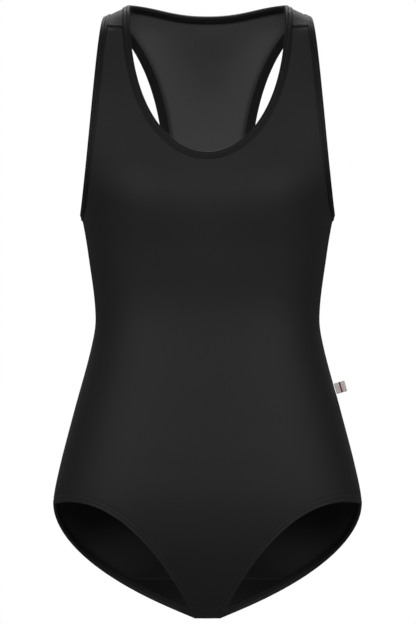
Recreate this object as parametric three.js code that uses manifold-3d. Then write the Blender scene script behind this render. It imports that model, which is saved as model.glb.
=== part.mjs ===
// Racerback gymnastics leotard, in the shape that it has when worn.
// Millimetres, +Z up, the front towards -Y, the wearer's left towards +X.
// The origin is the hang point, midway between the tops of the two shoulder straps.
//
// The cloth lies on one smooth body form. A place on the form is { a, v }: a is the angle round the
// body, 0 at the centre front, 90 degrees at the side and 180 at the centre back, and v is the way
// up. Every edge of the garment is a curve on the form, every layer lies at its own depth below it.
import * as THREE from "three";
import { LoftGeometry } from "three/addons/geometries/LoftGeometry.js";
import { mergeGeometries, mergeVertices } from "three/addons/utils/BufferGeometryUtils.js";
import Module from "manifold-3d";

const wasm = await Module();
wasm.setup();

// ---- Driving dimensions ---------------------------------------------------------------------

// Heights.
const STRAP_TOP_Z = 7; // inner end of the strap's crest
const STRAP_SIDE_Z = -6; // outer end of the strap's crest
const SHOULDER_SEAM_Z = -14.6; // the seam lies in front of the crest
const BACK_NECK_Z = -3.4;
const FRONT_NECK_Z = -146;
const UNDERARM_Z = -210;
const WAIST_Z = -318;
const SEAT_Z = -475; // fullest level of the seat
const LEG_SIDE_Z = -511; // leg opening at the side seam
const CROTCH_Z = -631;

// Half widths.
const NECK_HALF = 81;
const STRAP_WIDTH = 27;
const UNDERARM_HALF = 132;
const WAIST_HALF = 116.5;
const HIP_HALF = 160.7;
const CROTCH_HALF = 14;
const RACER_HALF = 47; // narrowest place of the racer back
const RACER_Z = -148;

// Depths, from the line of the side seams.
const BUST_DEPTH = 107;
const BLADE_DEPTH = 91;
const WAIST_FRONT = 86;
const WAIST_BACK = 75;
const BELLY_DEPTH = 96;
const SEAT_DEPTH = 115;

// Cloth and edges.
const CLOTH = 0.8;
const PLY_GAP = 0.8; // between two layers that lie on each other
const SEAM_GAP = 0.2; // half the gap between two pieces that meet at a seam
const BINDING_WIDTH = 8;
const BINDING_CLOTH = 0.5;
const BINDING_POCKET = 3; // from the finished edge to the panel's edge inside the binding
const HEM_WIDTH = 8;
const ELASTIC_WIDTH = 4.6;
const ELASTIC_CLEARANCE = 0.3; // between an elastic and the fold it lies in
const ELASTIC_THICKNESS = 0.8;
const THREAD = 0.5;
const SEAM_ALLOWANCE = 6.5;
const OVERLOCK = 1; // thickness of an overlocked allowance
const TAPE_WIDTH = 6;
const TAPE_THICKNESS = 0.4;

// Labels.
const TAG_Z = -392;
const TAG_SIZE = 11.4;
const TAG_PLY = 0.3;
const TAG_FOLD = 0.3; // inner width of the folded loop
const LABEL_WIDTH = 25;
const LABEL_HEIGHT = 30;
const LABEL_THICKNESS = 0.4;
const LABEL_ANGLE = THREE.MathUtils.degToRad(28); // between the label and the side seam's plane
const LABEL_CLEARANCE = 0.8;

// How many rows and stations the pieces are built from.
const LEG_ROWS = 12;
const SIDE_ROWS = 9;
const CENTRE_ROWS_FRONT = 4; // armhole rows that still end at the centre front
const NECK_ROWS_FRONT = 12;
const CENTRE_ROWS_BACK = 19;
const NECK_ROWS_BACK = 11;

// ---- The body form --------------------------------------------------------------------------

const { lerp } = THREE.MathUtils;
const BOWL = SEAT_Z - CROTCH_Z; // height of the part that closes under the body
const V_LOW = (-BOWL * Math.PI) / 2;
const SQUARENESS = 0.078; // how much fuller than an ellipse each level is
const BOWL_POWER = 2.2;
const FRONT_FALL = 1 / 1.7;
const BACK_FALL = 1 / 1.8;

// A smooth curve through a few [height, value] knots.
function profile(knots) {
  const k = [...knots].sort((p, q) => p[0] - q[0]);
  const slope = k.map((_, i) => {
    const before = k[Math.max(i - 1, 0)];
    const after = k[Math.min(i + 1, k.length - 1)];
    return (after[1] - before[1]) / (after[0] - before[0]);
  });
  return (z) => {
    const last = k.length - 1;
    if (z <= k[0][0]) return k[0][1] + slope[0] * (z - k[0][0]);
    if (z >= k[last][0]) return k[last][1] + slope[last] * (z - k[last][0]);
    const i = k.findIndex((knot) => knot[0] > z) - 1;
    const step = k[i + 1][0] - k[i][0];
    const t = (z - k[i][0]) / step;
    const rise = t * t * (3 - 2 * t);
    const bend = slope[i] * (1 - t) * (1 - t) * t - slope[i + 1] * (1 - t) * t * t;
    return lerp(k[i][1], k[i + 1][1], rise) + bend * step;
  };
}

const chestZ = (share) => lerp(STRAP_SIDE_Z, UNDERARM_Z, share);
const ribZ = (share) => lerp(UNDERARM_Z, WAIST_Z, share);
const hipZ = (share) => lerp(WAIST_Z, LEG_SIDE_Z, share);
const bowlZ = (share) => lerp(LEG_SIDE_Z, CROTCH_Z, share);

// Above the underarm the form is as wide as the shoulders, and the cloth covers a part of it.
const halfWidth = profile([
  [STRAP_TOP_Z, NECK_HALF],
  [STRAP_SIDE_Z, NECK_HALF + STRAP_WIDTH],
  [chestZ(0.09), 139],
  [chestZ(0.22), 157],
  [chestZ(0.4), 166],
  [chestZ(0.58), 163],
  [chestZ(0.76), 153],
  [chestZ(0.88), UNDERARM_HALF + 11],
  [UNDERARM_Z, UNDERARM_HALF],
  [ribZ(0.45), lerp(UNDERARM_HALF, WAIST_HALF, 0.57)],
  [WAIST_Z, WAIST_HALF],
  [hipZ(0.17), lerp(WAIST_HALF, HIP_HALF, 0.11)],
  [hipZ(0.5), lerp(WAIST_HALF, HIP_HALF, 0.5)],
  [hipZ(0.82), lerp(WAIST_HALF, HIP_HALF, 0.86)],
  [LEG_SIDE_Z, HIP_HALF],
  [bowlZ(0.25), HIP_HALF - 2],
  [bowlZ(0.53), HIP_HALF - 15],
  [bowlZ(0.78), HIP_HALF - 35],
  [CROTCH_Z, HIP_HALF - 57],
]);

const frontDepth = profile([
  [STRAP_TOP_Z, 34],
  [STRAP_SIDE_Z, 42],
  [chestZ(0.07), 51],
  [chestZ(0.22), 69],
  [chestZ(0.41), 86],
  [chestZ(0.66), BUST_DEPTH - 7],
  [chestZ(0.9), BUST_DEPTH],
  [ribZ(0.37), lerp(BUST_DEPTH, WAIST_FRONT, 0.48)],
  [WAIST_Z, WAIST_FRONT],
  [lerp(WAIST_Z, SEAT_Z, 0.52), lerp(WAIST_FRONT, BELLY_DEPTH, 0.65)],
  [lerp(WAIST_Z, SEAT_Z, 0.87), BELLY_DEPTH],
  [SEAT_Z, BELLY_DEPTH],
]);

const backDepth = profile([
  [STRAP_TOP_Z, 38],
  [STRAP_SIDE_Z, 45],
  [chestZ(0.07), 54],
  [chestZ(0.22), 68],
  [chestZ(0.41), 80],
  [chestZ(0.66), BLADE_DEPTH - 3],
  [chestZ(0.88), BLADE_DEPTH],
  [ribZ(0.37), lerp(BLADE_DEPTH, WAIST_BACK, 0.5)],
  [WAIST_Z, WAIST_BACK],
  [lerp(WAIST_Z, SEAT_Z, 0.46), lerp(WAIST_BACK, SEAT_DEPTH, 0.43)],
  [lerp(WAIST_Z, SEAT_Z, 0.78), SEAT_DEPTH - 6],
  [SEAT_Z, SEAT_DEPTH],
]);

// Where the line of the side seams lies, front to back.
const middle = profile([
  [STRAP_TOP_Z, 8],
  [chestZ(0.26), 6.5],
  [chestZ(0.6), 3],
  [UNDERARM_Z, 0],
  [SEAT_Z, 0],
  [bowlZ(0.4), 2.5],
  [CROTCH_Z, 8],
]);

// Soft rises of the form: facing is 1 on the front and -1 on the back.
const MOUNDS = [
  { facing: 1, x: 70, z: chestZ(0.89), rise: 11, wide: 36, tall: 42 },
  { facing: -1, x: 68, z: SEAT_Z + 5, rise: 10, wide: 40, tall: 46 },
  { facing: -1, x: 62, z: chestZ(0.7), rise: 4, wide: 34, tall: 40 },
];
const SPINE = { z: WAIST_Z, rise: -5, wide: 18, tall: 60 };

function bell(distance, spread) {
  return Math.exp(-0.5 * (distance / spread) ** 2);
}

function moundAt(x, z, c) {
  let rise = 0;
  for (const m of MOUNDS) {
    const share = Math.max(c * m.facing, 0) * bell(z - m.z, m.tall);
    rise += m.rise * share * (bell(x - m.x, m.wide) + bell(x + m.x, m.wide)) * m.facing;
  }
  const hollow = Math.max(-c, 0) * bell(z - SPINE.z, SPINE.tall) * bell(x, SPINE.wide);
  return rise - SPINE.rise * hollow;
}

function heightAt(v) {
  return v >= 0 ? SEAT_Z + v : SEAT_Z - BOWL * Math.sin(Math.min(-v / BOWL, Math.PI / 2));
}

function levelOf(z) {
  return z >= SEAT_Z ? z - SEAT_Z : -BOWL * Math.asin(Math.min((SEAT_Z - z) / BOWL, 1));
}

// The point of the body form at angle a and level v.
function form(a, v) {
  const z = heightAt(v);
  const s = Math.sin(a);
  const c = Math.cos(a);
  const deep = v < 0 ? Math.max(1 - Math.sin(Math.min(-v / BOWL, Math.PI / 2)) ** BOWL_POWER, 0) : 1;
  const depth = c > 0 ? frontDepth(Math.max(z, SEAT_Z)) * deep ** FRONT_FALL
    : backDepth(Math.max(z, SEAT_Z)) * deep ** BACK_FALL;
  const x = halfWidth(z) * s * (1 + SQUARENESS * c * c);
  const y = middle(z) - depth * c * (1 + SQUARENESS * s * s) - moundAt(x, z, c) * Math.sqrt(deep);
  return new THREE.Vector3(x, y, z);
}

// The two directions of the form at a place, per radian and per millimetre of level.
function slopes(a, v) {
  const da = 0.004;
  const dv = 0.4;
  const low = Math.max(v - dv, V_LOW);
  const high = v + dv;
  const along = form(a + da, v).sub(form(a - da, v)).divideScalar(2 * da);
  const up = form(a, high).sub(form(a, low)).divideScalar(high - low);
  return { along, up };
}

function normalAt(a, v) {
  const { along, up } = slopes(a, v);
  return along.cross(up).normalize();
}

// The point at a depth below the form, or above it for a positive height.
function layer(place, rise) {
  return form(place.a, place.v).addScaledVector(normalAt(place.a, place.v), rise);
}

// The place that lies a distance away along the form, in a given direction.
function walk(place, direction, distance) {
  const steps = 3;
  let { a, v } = place;
  for (let i = 0; i < steps; i += 1) {
    const { along, up } = slopes(a, v);
    const aa = along.dot(along);
    const au = along.dot(up);
    const uu = up.dot(up);
    const da = along.dot(direction) * (distance / steps);
    const du = up.dot(direction) * (distance / steps);
    const det = aa * uu - au * au;
    a += (da * uu - du * au) / det;
    v = Math.max(v + (du * aa - da * au) / det, V_LOW);
  }
  return { a, v };
}

// The place on the form that is seen at (x, z) from in front.
function seenAt(x, z, isBack = false) {
  const share = Math.min(x / halfWidth(z), 1);
  let s = share;
  for (let i = 0; i < 8; i += 1) s = Math.min(share / (1 + SQUARENESS * (1 - s * s)), 1);
  const a = Math.asin(s);
  return { a: isBack ? Math.PI - a : a, v: levelOf(z) };
}

// ---- Finished edges, as curves on the form ---------------------------------------------------

const point2 = (x, z) => new THREE.Vector2(x, z);
const underarm = point2(UNDERARM_HALF, UNDERARM_Z);
const strapSide = point2(NECK_HALF + STRAP_WIDTH, STRAP_SIDE_Z);
const racer = point2(RACER_HALF, RACER_Z);
const legSide = point2(HIP_HALF, LEG_SIDE_Z);
const legCrotch = point2(CROTCH_HALF, CROTCH_Z);

const armFrontCurve = new THREE.CubicBezierCurve(
  underarm,
  point2(UNDERARM_HALF - 9.5, lerp(UNDERARM_Z, STRAP_SIDE_Z, 0.35)),
  point2(strapSide.x + 6.5, STRAP_SIDE_Z),
  strapSide,
);
const armBackLow = new THREE.CubicBezierCurve(
  underarm,
  point2(UNDERARM_HALF - 27, UNDERARM_Z - 8),
  point2(RACER_HALF + 1, lerp(RACER_Z, UNDERARM_Z, 0.68)),
  racer,
);
const armBackHigh = new THREE.CubicBezierCurve(
  racer,
  point2(RACER_HALF, lerp(RACER_Z, STRAP_SIDE_Z, 0.15)),
  point2(RACER_HALF + 9.5, lerp(RACER_Z, STRAP_SIDE_Z, 0.75)),
  strapSide,
);
const legFrontCurve = new THREE.CubicBezierCurve(
  legCrotch,
  point2(CROTCH_HALF + 42, bowlZ(0.28)),
  point2(HIP_HALF - 51, bowlZ(-0.1)),
  legSide,
);
const legBackCurve = new THREE.CubicBezierCurve(
  legCrotch,
  point2(lerp(CROTCH_HALF, HIP_HALF, 0.71), bowlZ(0.68)),
  point2(HIP_HALF + 0.7, bowlZ(0.29)),
  legSide,
);

function onForm(curve, isBack) {
  return (t) => {
    const p = curve.getPoint(t);
    return seenAt(p.x, p.y, isBack);
  };
}

// The neckline in front is a fuller quarter oval, from the centre (t = 0) to the crest (t = 1).
const NECK_FULLNESS = 0.851;
const NECK_LEVELLING = 1.2;
const NECK_DEEP = STRAP_TOP_Z - FRONT_NECK_Z;
function neckFrontAt(t) {
  const turn = (t * Math.PI) / 2;
  const z = STRAP_TOP_Z - NECK_DEEP * Math.max(Math.cos(turn), 0) ** NECK_FULLNESS;
  return seenAt(NECK_HALF * Math.sin(turn), z);
}

// The back neckline is shallow, and levels out towards the crest.
function neckBackAt(t) {
  const share = Math.sin((t * Math.PI) / 2);
  const rise = (1 - Math.cos(Math.PI * share ** NECK_LEVELLING)) / 2;
  return seenAt(NECK_HALF * share, lerp(BACK_NECK_Z, STRAP_TOP_Z, rise), true);
}

const neckSeamT = (Math.acos(((STRAP_TOP_Z - SHOULDER_SEAM_Z) / NECK_DEEP) ** (1 / NECK_FULLNESS)) * 2) / Math.PI;

// Where a rising curve reaches a height.
function timeAt(curve, z) {
  let low = 0;
  let high = 1;
  for (let i = 0; i < 40; i += 1) {
    const mid = (low + high) / 2;
    if (curve.getPoint(mid).y < z) low = mid;
    else high = mid;
  }
  return low;
}
const armSeamT = timeAt(armFrontCurve, SHOULDER_SEAM_Z);

// Joins curves end to end, each [function of t, from, to], into one function of t.
function chain(...parts) {
  return (t) => {
    const i = Math.min(Math.floor(t * parts.length), parts.length - 1);
    const [curve, from, to] = parts[i];
    return curve(lerp(from, to, t * parts.length - i));
  };
}

// Places spread along a curve at equal lengths, or eased by a function of the share of the length.
function spread(curve, count, ease = (t) => t) {
  const samples = 360;
  const fine = [];
  let run = 0;
  let last = null;
  for (let i = 0; i <= samples; i += 1) {
    const place = curve(i / samples);
    const point = form(place.a, place.v);
    if (last) run += point.distanceTo(last);
    fine.push({ t: i / samples, run });
    last = point;
  }
  const places = [];
  for (let k = 0; k <= count; k += 1) {
    const wanted = ease(k / count) * run;
    const i = Math.min(Math.max(fine.findIndex((f) => f.run >= wanted), 1), samples);
    const share = (wanted - fine[i - 1].run) / (fine[i].run - fine[i - 1].run);
    places.push(curve(lerp(fine[i - 1].t, fine[i].t, share)));
  }
  return places;
}

const armFrontAt = onForm(armFrontCurve, false);
const closerAtTheCrest = (t) => 1 - (1 - t) ** 1.2;
const neckFront = spread(chain([neckFrontAt, 0, neckSeamT]), NECK_ROWS_FRONT);
const neckBack = spread(
  chain([neckBackAt, 0, 1], [neckFrontAt, 1, neckSeamT]),
  NECK_ROWS_BACK,
  closerAtTheCrest,
);
const armFront = spread(chain([armFrontAt, 0, armSeamT]), CENTRE_ROWS_FRONT + NECK_ROWS_FRONT);
const armBack = spread(
  chain([onForm(armBackLow, true), 0, 1], [onForm(armBackHigh, true), 0, 1], [armFrontAt, 1, armSeamT]),
  CENTRE_ROWS_BACK + NECK_ROWS_BACK,
  closerAtTheCrest,
);
const legFront = spread(onForm(legFrontCurve, false), LEG_ROWS);
const legBack = spread(onForm(legBackCurve, true), LEG_ROWS);

const mirrorPoint = (p) => new THREE.Vector3(-p.x, p.y, p.z);

// Gives each place of an edge its direction towards the cloth. side says on which hand the cloth is.
function withInward(places, side, isLoop) {
  const points = places.map((p) => form(p.a, p.v));
  const count = places.length;
  return places.map((place, i) => {
    let before = points[i - 1] ?? (isLoop ? points[count - 1] : null);
    let after = points[i + 1] ?? (isLoop ? points[0] : null);
    before = before ?? mirrorPoint(after);
    after = after ?? mirrorPoint(before);
    const here = points[i];
    const forward = after.clone().sub(here).normalize().add(here.clone().sub(before).normalize());
    const inward = forward.cross(normalAt(place.a, place.v)).normalize().multiplyScalar(side);
    return { ...place, inward };
  });
}

// Each edge runs up its front part and down its back part.
const neckEdge = withInward([...neckFront, ...neckBack.slice(0, -1).reverse()], 1, false);
const armEdge = withInward([...armFront, ...armBack.slice(1, -1).reverse()], -1, true);
const legEdge = withInward([...legFront, ...legBack.slice(1, -1).reverse()], -1, true);

const inset = (station, distance) => walk(station, station.inward, distance);

// ---- Solids ---------------------------------------------------------------------------------

function facingOut(geometry) {
  const p = geometry.getAttribute("position");
  const index = geometry.getIndex().array;
  const [a, b, c] = [new THREE.Vector3(), new THREE.Vector3(), new THREE.Vector3()];
  let volume = 0;
  for (let i = 0; i < index.length; i += 3) {
    a.fromBufferAttribute(p, index[i]);
    b.fromBufferAttribute(p, index[i + 1]);
    c.fromBufferAttribute(p, index[i + 2]);
    volume += a.dot(b.cross(c));
  }
  if (volume < 0) {
    for (let i = 0; i < index.length; i += 3) {
      [index[i + 1], index[i + 2]] = [index[i + 2], index[i + 1]];
    }
  }
  geometry.computeVertexNormals();
  return geometry;
}

function bare(geometry) {
  const copy = new THREE.BufferGeometry();
  copy.setAttribute("position", geometry.getAttribute("position"));
  copy.setIndex(geometry.getIndex());
  return copy;
}

// Keeps only the positions, so that the corners that faces share become one.
function welded(geometry) {
  return facingOut(mergeVertices(bare(geometry), 1e-3));
}

const centreOf = (ring) => ring.reduce((sum, p) => sum.add(p), new THREE.Vector3()).divideScalar(ring.length);

// A loft's rings turn anticlockwise when they are seen from its end.
function turnsTheRightWay(sections) {
  const [ring, next] = sections;
  const centre = centreOf(ring);
  const area = new THREE.Vector3();
  ring.forEach((p, i) => {
    const q = ring[(i + 1) % ring.length];
    area.add(p.clone().sub(centre).cross(q.clone().sub(centre)));
  });
  return area.dot(centreOf(next).sub(centre)) > 0;
}

// Closes the end of a loft with short faces between the two long sides of its ring.
function endCap(ring, isStart) {
  const last = ring.length - 1;
  const index = [];
  for (let i = 0; i < ring.length / 2 - 1; i += 1) {
    index.push(i, i + 1, last - i - 1, i, last - i - 1, last - i);
  }
  if (isStart) index.reverse();
  const positions = new Float32Array(ring.flatMap((p) => p.toArray()));
  const cap = new THREE.BufferGeometry();
  cap.setAttribute("position", new THREE.BufferAttribute(positions, 3));
  cap.setIndex(index);
  return cap;
}

function loft(sections, isLoop = false) {
  const ordered = turnsTheRightWay(sections) ? sections : sections.map((ring) => [...ring].reverse());
  const rings = isLoop ? [...ordered, ordered[0]] : ordered;
  const walls = bare(new LoftGeometry(rings, { closed: true, capStart: false, capEnd: false }));
  if (isLoop) return welded(walls);
  return welded(mergeGeometries([walls, endCap(ordered[0], true), endCap(ordered.at(-1), false)]));
}

function mirrored(geometry) {
  const copy = geometry.clone().applyMatrix4(new THREE.Matrix4().makeScale(-1, 1, 1));
  return facingOut(copy);
}

function toManifold(geometry) {
  const { array } = geometry.getAttribute("position");
  const mesh = new wasm.Mesh({
    numProp: 3,
    vertProperties: new Float32Array(array),
    triVerts: new Uint32Array(geometry.getIndex().array),
  });
  return new wasm.Manifold(mesh);
}

function joined(geometryA, geometryB) {
  const mesh = toManifold(geometryA).add(toManifold(geometryB)).getMesh();
  const geometry = new THREE.BufferGeometry();
  geometry.setAttribute("position", new THREE.BufferAttribute(mesh.vertProperties, 3));
  geometry.setIndex(new THREE.BufferAttribute(mesh.triVerts, 1));
  geometry.computeVertexNormals();
  return geometry;
}

// A strip along an edge. section lists [distance in from the edge, height above the form].
function strip(stations, section, isLoop) {
  const rings = stations.map((station) =>
    section.map(([distance, rise]) => layer(inset(station, distance), rise)));
  return loft(rings, isLoop);
}

// The same for the neck, whose stations run from the centre front to the centre back of one side.
function neckStrip(section) {
  const half = neckEdge.map((station) =>
    section.map(([distance, rise]) => layer(inset(station, distance), rise)));
  const last = half.length - 1;
  for (const i of [0, last]) half[i].forEach((p) => p.setX(0));
  const other = half.slice(1, -1).reverse().map((ring) => ring.map(mirrorPoint));
  return loft([...half, ...other], true);
}

const rectangle = (near, far, low, high) => [
  [near, low],
  [far, low],
  [far, high],
  [near, high],
];

// ---- Panels ---------------------------------------------------------------------------------

// Distances from the two ends of a row at which its first and last points lie.
const INNER_STEPS = [0, 10, 22];
const OUTER_STEPS = [36, 22, 10, 0];
const MIDDLE_STEPS = 3;
const FULL_ROW = 110;

function shares(length) {
  const scale = Math.min(length / FULL_ROW, 1);
  const near = INNER_STEPS.map((d) => (d * scale) / length);
  const far = OUTER_STEPS.map((d) => 1 - (d * scale) / length);
  const start = near.at(-1);
  const between = [];
  for (let i = 1; i <= MIDDLE_STEPS; i += 1) {
    between.push(lerp(start, far[0], i / (MIDDLE_STEPS + 1)));
  }
  return [...near, ...between, ...far];
}

const mix = (p, q, t) => ({ a: lerp(p.a, q.a, t), v: lerp(p.v, q.v, t) });

// A row changes its level mostly near its outer end, so that it meets the edges at a fair angle.
const ROW_BEND = 1.8;
const alongRow = (p, q, t) => ({ a: lerp(p.a, q.a, t), v: lerp(p.v, q.v, t ** ROW_BEND) });

// One half of a panel: a loft through rows that run from the centre or the neck to the outer edge.
function halfPanel(rows) {
  const rings = rows.map(({ inner, outer, onCentre }) => {
    const length = form(inner.a, inner.v).distanceTo(form(outer.a, outer.v));
    const places = shares(length).map((t) => alongRow(inner, outer, t));
    const face = places.map((place) => layer(place, 0));
    const back = places.map((place) => layer(place, -CLOTH));
    if (onCentre) {
      face[0].setX(0);
      back[0].setX(0);
    }
    return [...face, ...back.reverse()];
  });
  return loft(rings);
}

const SIDE = Math.PI / 2;
const SHOULDER_SLOPE = 1.6; // level per millimetre of cloth at the shoulder seam, with some to spare
const CROTCH_STEP = 0.6; // in level, which leaves about a seam gap at the lowest line
const CROTCH_CURVE = 1.4; // the gap is a little wider at the hems
const LEG_ROW_TOP_Z = LEG_SIDE_Z + 75; // where the highest leg row meets the centre line
const ARM_ROW_LOW_FRONT_Z = UNDERARM_Z - 25; // where the lowest armhole row meets the centre line
const ARM_ROW_LOW_BACK_Z = UNDERARM_Z - 55;
const FIRST_SIDE_ROW = 0.4; // how far its lowest side row lies towards the next one
const SIDE_LOW = levelOf(LEG_SIDE_Z) + HEM_WIDTH + SEAM_GAP * 3;
const SIDE_HIGH = levelOf(UNDERARM_Z) - BINDING_POCKET;
const sideLevel = (i) => lerp(SIDE_LOW, SIDE_HIGH, i / SIDE_ROWS);

// The rows of one half panel. sign is 1 for the front and -1 for the back.
function panelRows(sign, leg, arm, neck, centreRows) {
  const centre = (v) => ({ a: sign > 0 ? 0 : Math.PI, v });
  const seamSide = (v) => ({ a: SIDE - sign * (SEAM_GAP / BUST_DEPTH), v });
  const rows = [];
  const legTop = levelOf(LEG_ROW_TOP_Z);
  const armLow = levelOf(sign > 0 ? ARM_ROW_LOW_FRONT_Z : ARM_ROW_LOW_BACK_Z);
  leg.forEach((station, i) => {
    const outer = inset(station, HEM_WIDTH + SEAM_GAP * 3);
    const inner = centre(lerp(V_LOW, legTop, i / LEG_ROWS));
    if (i === 0) {
      inner.v = V_LOW + CROTCH_STEP;
      outer.v = V_LOW + CROTCH_STEP * CROTCH_CURVE;
    }
    rows.push({ inner, outer: sign > 0 && i === LEG_ROWS ? seamSide(SIDE_LOW) : outer, onCentre: true });
  });
  // The hem leans back at the side seam, so the back panel has one more row there.
  for (let i = sign > 0 ? 1 : 0; i < SIDE_ROWS; i += 1) {
    const t = Math.max(i, FIRST_SIDE_ROW) / SIDE_ROWS;
    rows.push({
      inner: centre(lerp(legTop, armLow, t)),
      outer: seamSide(sideLevel(i)),
      onCentre: true,
    });
  }
  const neckLow = inset(neck[0], BINDING_POCKET);
  arm.forEach((station, i) => {
    const outer = i === 0 ? seamSide(SIDE_HIGH) : inset(station, BINDING_POCKET);
    const onCentre = i <= centreRows;
    const inner = onCentre
      ? centre(lerp(armLow, neckLow.v, i / centreRows))
      : inset(neck[i - centreRows], BINDING_POCKET);
    if (i === arm.length - 1) {
      inner.v -= SEAM_GAP * SHOULDER_SLOPE * sign;
      outer.v -= SEAM_GAP * SHOULDER_SLOPE * sign;
    }
    rows.push({ inner, outer, onCentre });
  });
  return rows;
}

const upNeck = (count, isBack) => (isBack ? [...neckEdge].reverse() : neckEdge).slice(0, count + 1);
const backOf = (edge, count) => [edge[0], ...[...edge].reverse()].slice(0, count + 1);
const armRowsFront = CENTRE_ROWS_FRONT + NECK_ROWS_FRONT;
const armRowsBack = CENTRE_ROWS_BACK + NECK_ROWS_BACK;

function frontPanel() {
  const leg = legEdge.slice(0, LEG_ROWS + 1);
  const arm = armEdge.slice(0, armRowsFront + 1);
  const half = halfPanel(panelRows(1, leg, arm, upNeck(NECK_ROWS_FRONT, false), CENTRE_ROWS_FRONT));
  return joined(half, mirrored(half));
}

function backPanel() {
  const crotch = { ...legEdge[0], a: Math.PI - legEdge[0].a };
  const leg = [crotch, ...backOf(legEdge, LEG_ROWS).slice(1)];
  const arm = backOf(armEdge, armRowsBack);
  const half = halfPanel(panelRows(-1, leg, arm, upNeck(NECK_ROWS_BACK, true), CENTRE_ROWS_BACK));
  return joined(half, mirrored(half));
}

// ---- Edges ----------------------------------------------------------------------------------

const UNDER = -CLOTH - PLY_GAP; // top of the first layer under a panel
const ELASTIC_UNDER = UNDER - ELASTIC_THICKNESS;
const LEG_UNDER = ELASTIC_UNDER - PLY_GAP; // top of an edge's inner leg

// A folded strip: outer leg from top down by its thickness, inner leg under the elastic.
function foldedStrip(width, outerTop, thickness) {
  const bottom = LEG_UNDER - thickness;
  return [
    [width, outerTop - thickness],
    [width, outerTop],
    [thickness, outerTop],
    [0, outerTop - thickness],
    [0, bottom + thickness],
    [thickness, bottom],
    [width - 1, bottom],
    [width - 1, LEG_UNDER],
    [thickness * 2, LEG_UNDER],
    [thickness * 2, outerTop - thickness],
  ];
}

const BINDING_TOP = PLY_GAP + BINDING_CLOTH;
const bindingSection = foldedStrip(BINDING_WIDTH, BINDING_TOP, BINDING_CLOTH);
const hemSection = foldedStrip(HEM_WIDTH, 0, CLOTH).map(([d, rise]) => [
  d === HEM_WIDTH - 1 ? HEM_WIDTH : d,
  rise,
]);
const ELASTIC_NEAR = CLOTH * 2 + ELASTIC_CLEARANCE;
const ELASTIC_FAR = ELASTIC_NEAR + ELASTIC_WIDTH;
const elasticSection = rectangle(ELASTIC_NEAR, ELASTIC_FAR, ELASTIC_UNDER, UNDER);

// A round thread laid on a surface, as a three-sided cord.
function threadSection(distance, surface) {
  const low = surface + 0.3;
  return [
    [distance - THREAD / 2, low],
    [distance + THREAD / 2, low],
    [distance, low + THREAD],
  ];
}

const BINDING_STITCH = 4; // from the finished edge
const HEM_STITCHES = [3, 6.8];

// ---- Seams and linings ----------------------------------------------------------------------

const FOLD_BACK = 1.5; // how far a pressed allowance reaches past its seam
const EDGE_CLEAR = 0.4; // between a seam's end and the edge it runs into

function sideSeam() {
  const inner = [];
  for (let i = 1; i < SIDE_ROWS; i += 1) inner.push(sideLevel(i));
  const high = levelOf(UNDERARM_Z) - BINDING_WIDTH - EDGE_CLEAR;
  const towardsBack = [SIDE_LOW, ...inner, high].map((v) => ({
    a: SIDE,
    v,
    inward: new THREE.Vector3(0, 1, 0),
  }));
  const section = rectangle(-FOLD_BACK, SEAM_ALLOWANCE - FOLD_BACK, UNDER - OVERLOCK, UNDER);
  return strip(towardsBack, section, false);
}

const SHOULDER_CLEAR = 2; // the inner layers of the strap are narrower than its face

// Stations along the shoulder seam, clear of the two bindings.
function shoulderStations() {
  const neckEnd = neckEdge[NECK_ROWS_FRONT];
  const armEnd = armEdge[armRowsFront];
  const length = form(neckEnd.a, neckEnd.v).distanceTo(form(armEnd.a, armEnd.v));
  const margin = (Math.max(BINDING_WIDTH, ELASTIC_FAR) + SHOULDER_CLEAR) / length;
  const across = form(armEnd.a, armEnd.v).sub(form(neckEnd.a, neckEnd.v)).normalize();
  const count = 4;
  const stations = [];
  for (let i = 0; i <= count; i += 1) {
    const place = mix(neckEnd, armEnd, lerp(margin, 1 - margin, i / count));
    const inward = normalAt(place.a, place.v).cross(across).normalize();
    stations.push({ ...place, inward });
  }
  return stations;
}

function shoulderSeam() {
  const section = rectangle(-FOLD_BACK, SEAM_ALLOWANCE - FOLD_BACK - 1, UNDER - OVERLOCK, UNDER);
  return strip(shoulderStations(), section, false);
}

function shoulderTape() {
  const top = UNDER - OVERLOCK - PLY_GAP;
  const section = rectangle(-TAPE_WIDTH / 2, TAPE_WIDTH / 2, top - TAPE_THICKNESS, top);
  return strip(shoulderStations(), section, false);
}

const CROTCH_INNER = CROTCH_HALF - HEM_WIDTH - EDGE_CLEAR;
const CROTCH_SEAM_DEPTH = 5;
const CROTCH_LIFT_CLEAR = 0.2; // between it and the panels, where the form rises

// How much the form has risen where it lies a distance in front of its lowest line.
function riseOfBowl(distance) {
  let low = V_LOW;
  let high = V_LOW + BOWL / 2;
  for (let i = 0; i < 40; i += 1) {
    const mid = (low + high) / 2;
    if (middle(CROTCH_Z) - form(0, mid).y < distance) low = mid;
    else high = mid;
  }
  return form(0, low).z - CROTCH_Z;
}

function crotchSeam() {
  const height = OVERLOCK - 0.2;
  const box = new THREE.BoxGeometry(2 * CROTCH_INNER, CROTCH_SEAM_DEPTH, height);
  const lift = riseOfBowl(CROTCH_SEAM_DEPTH / 2) + CROTCH_LIFT_CLEAR;
  box.translate(0, middle(CROTCH_Z), CROTCH_Z - UNDER + lift + height / 2);
  return welded(box);
}

const GUSSET_FRONT_ROWS = 5;
const GUSSET_BACK_ROWS = 5;
const GUSSET_COLUMNS = 4;
const GUSSET_CLOTH = 0.5;

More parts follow.
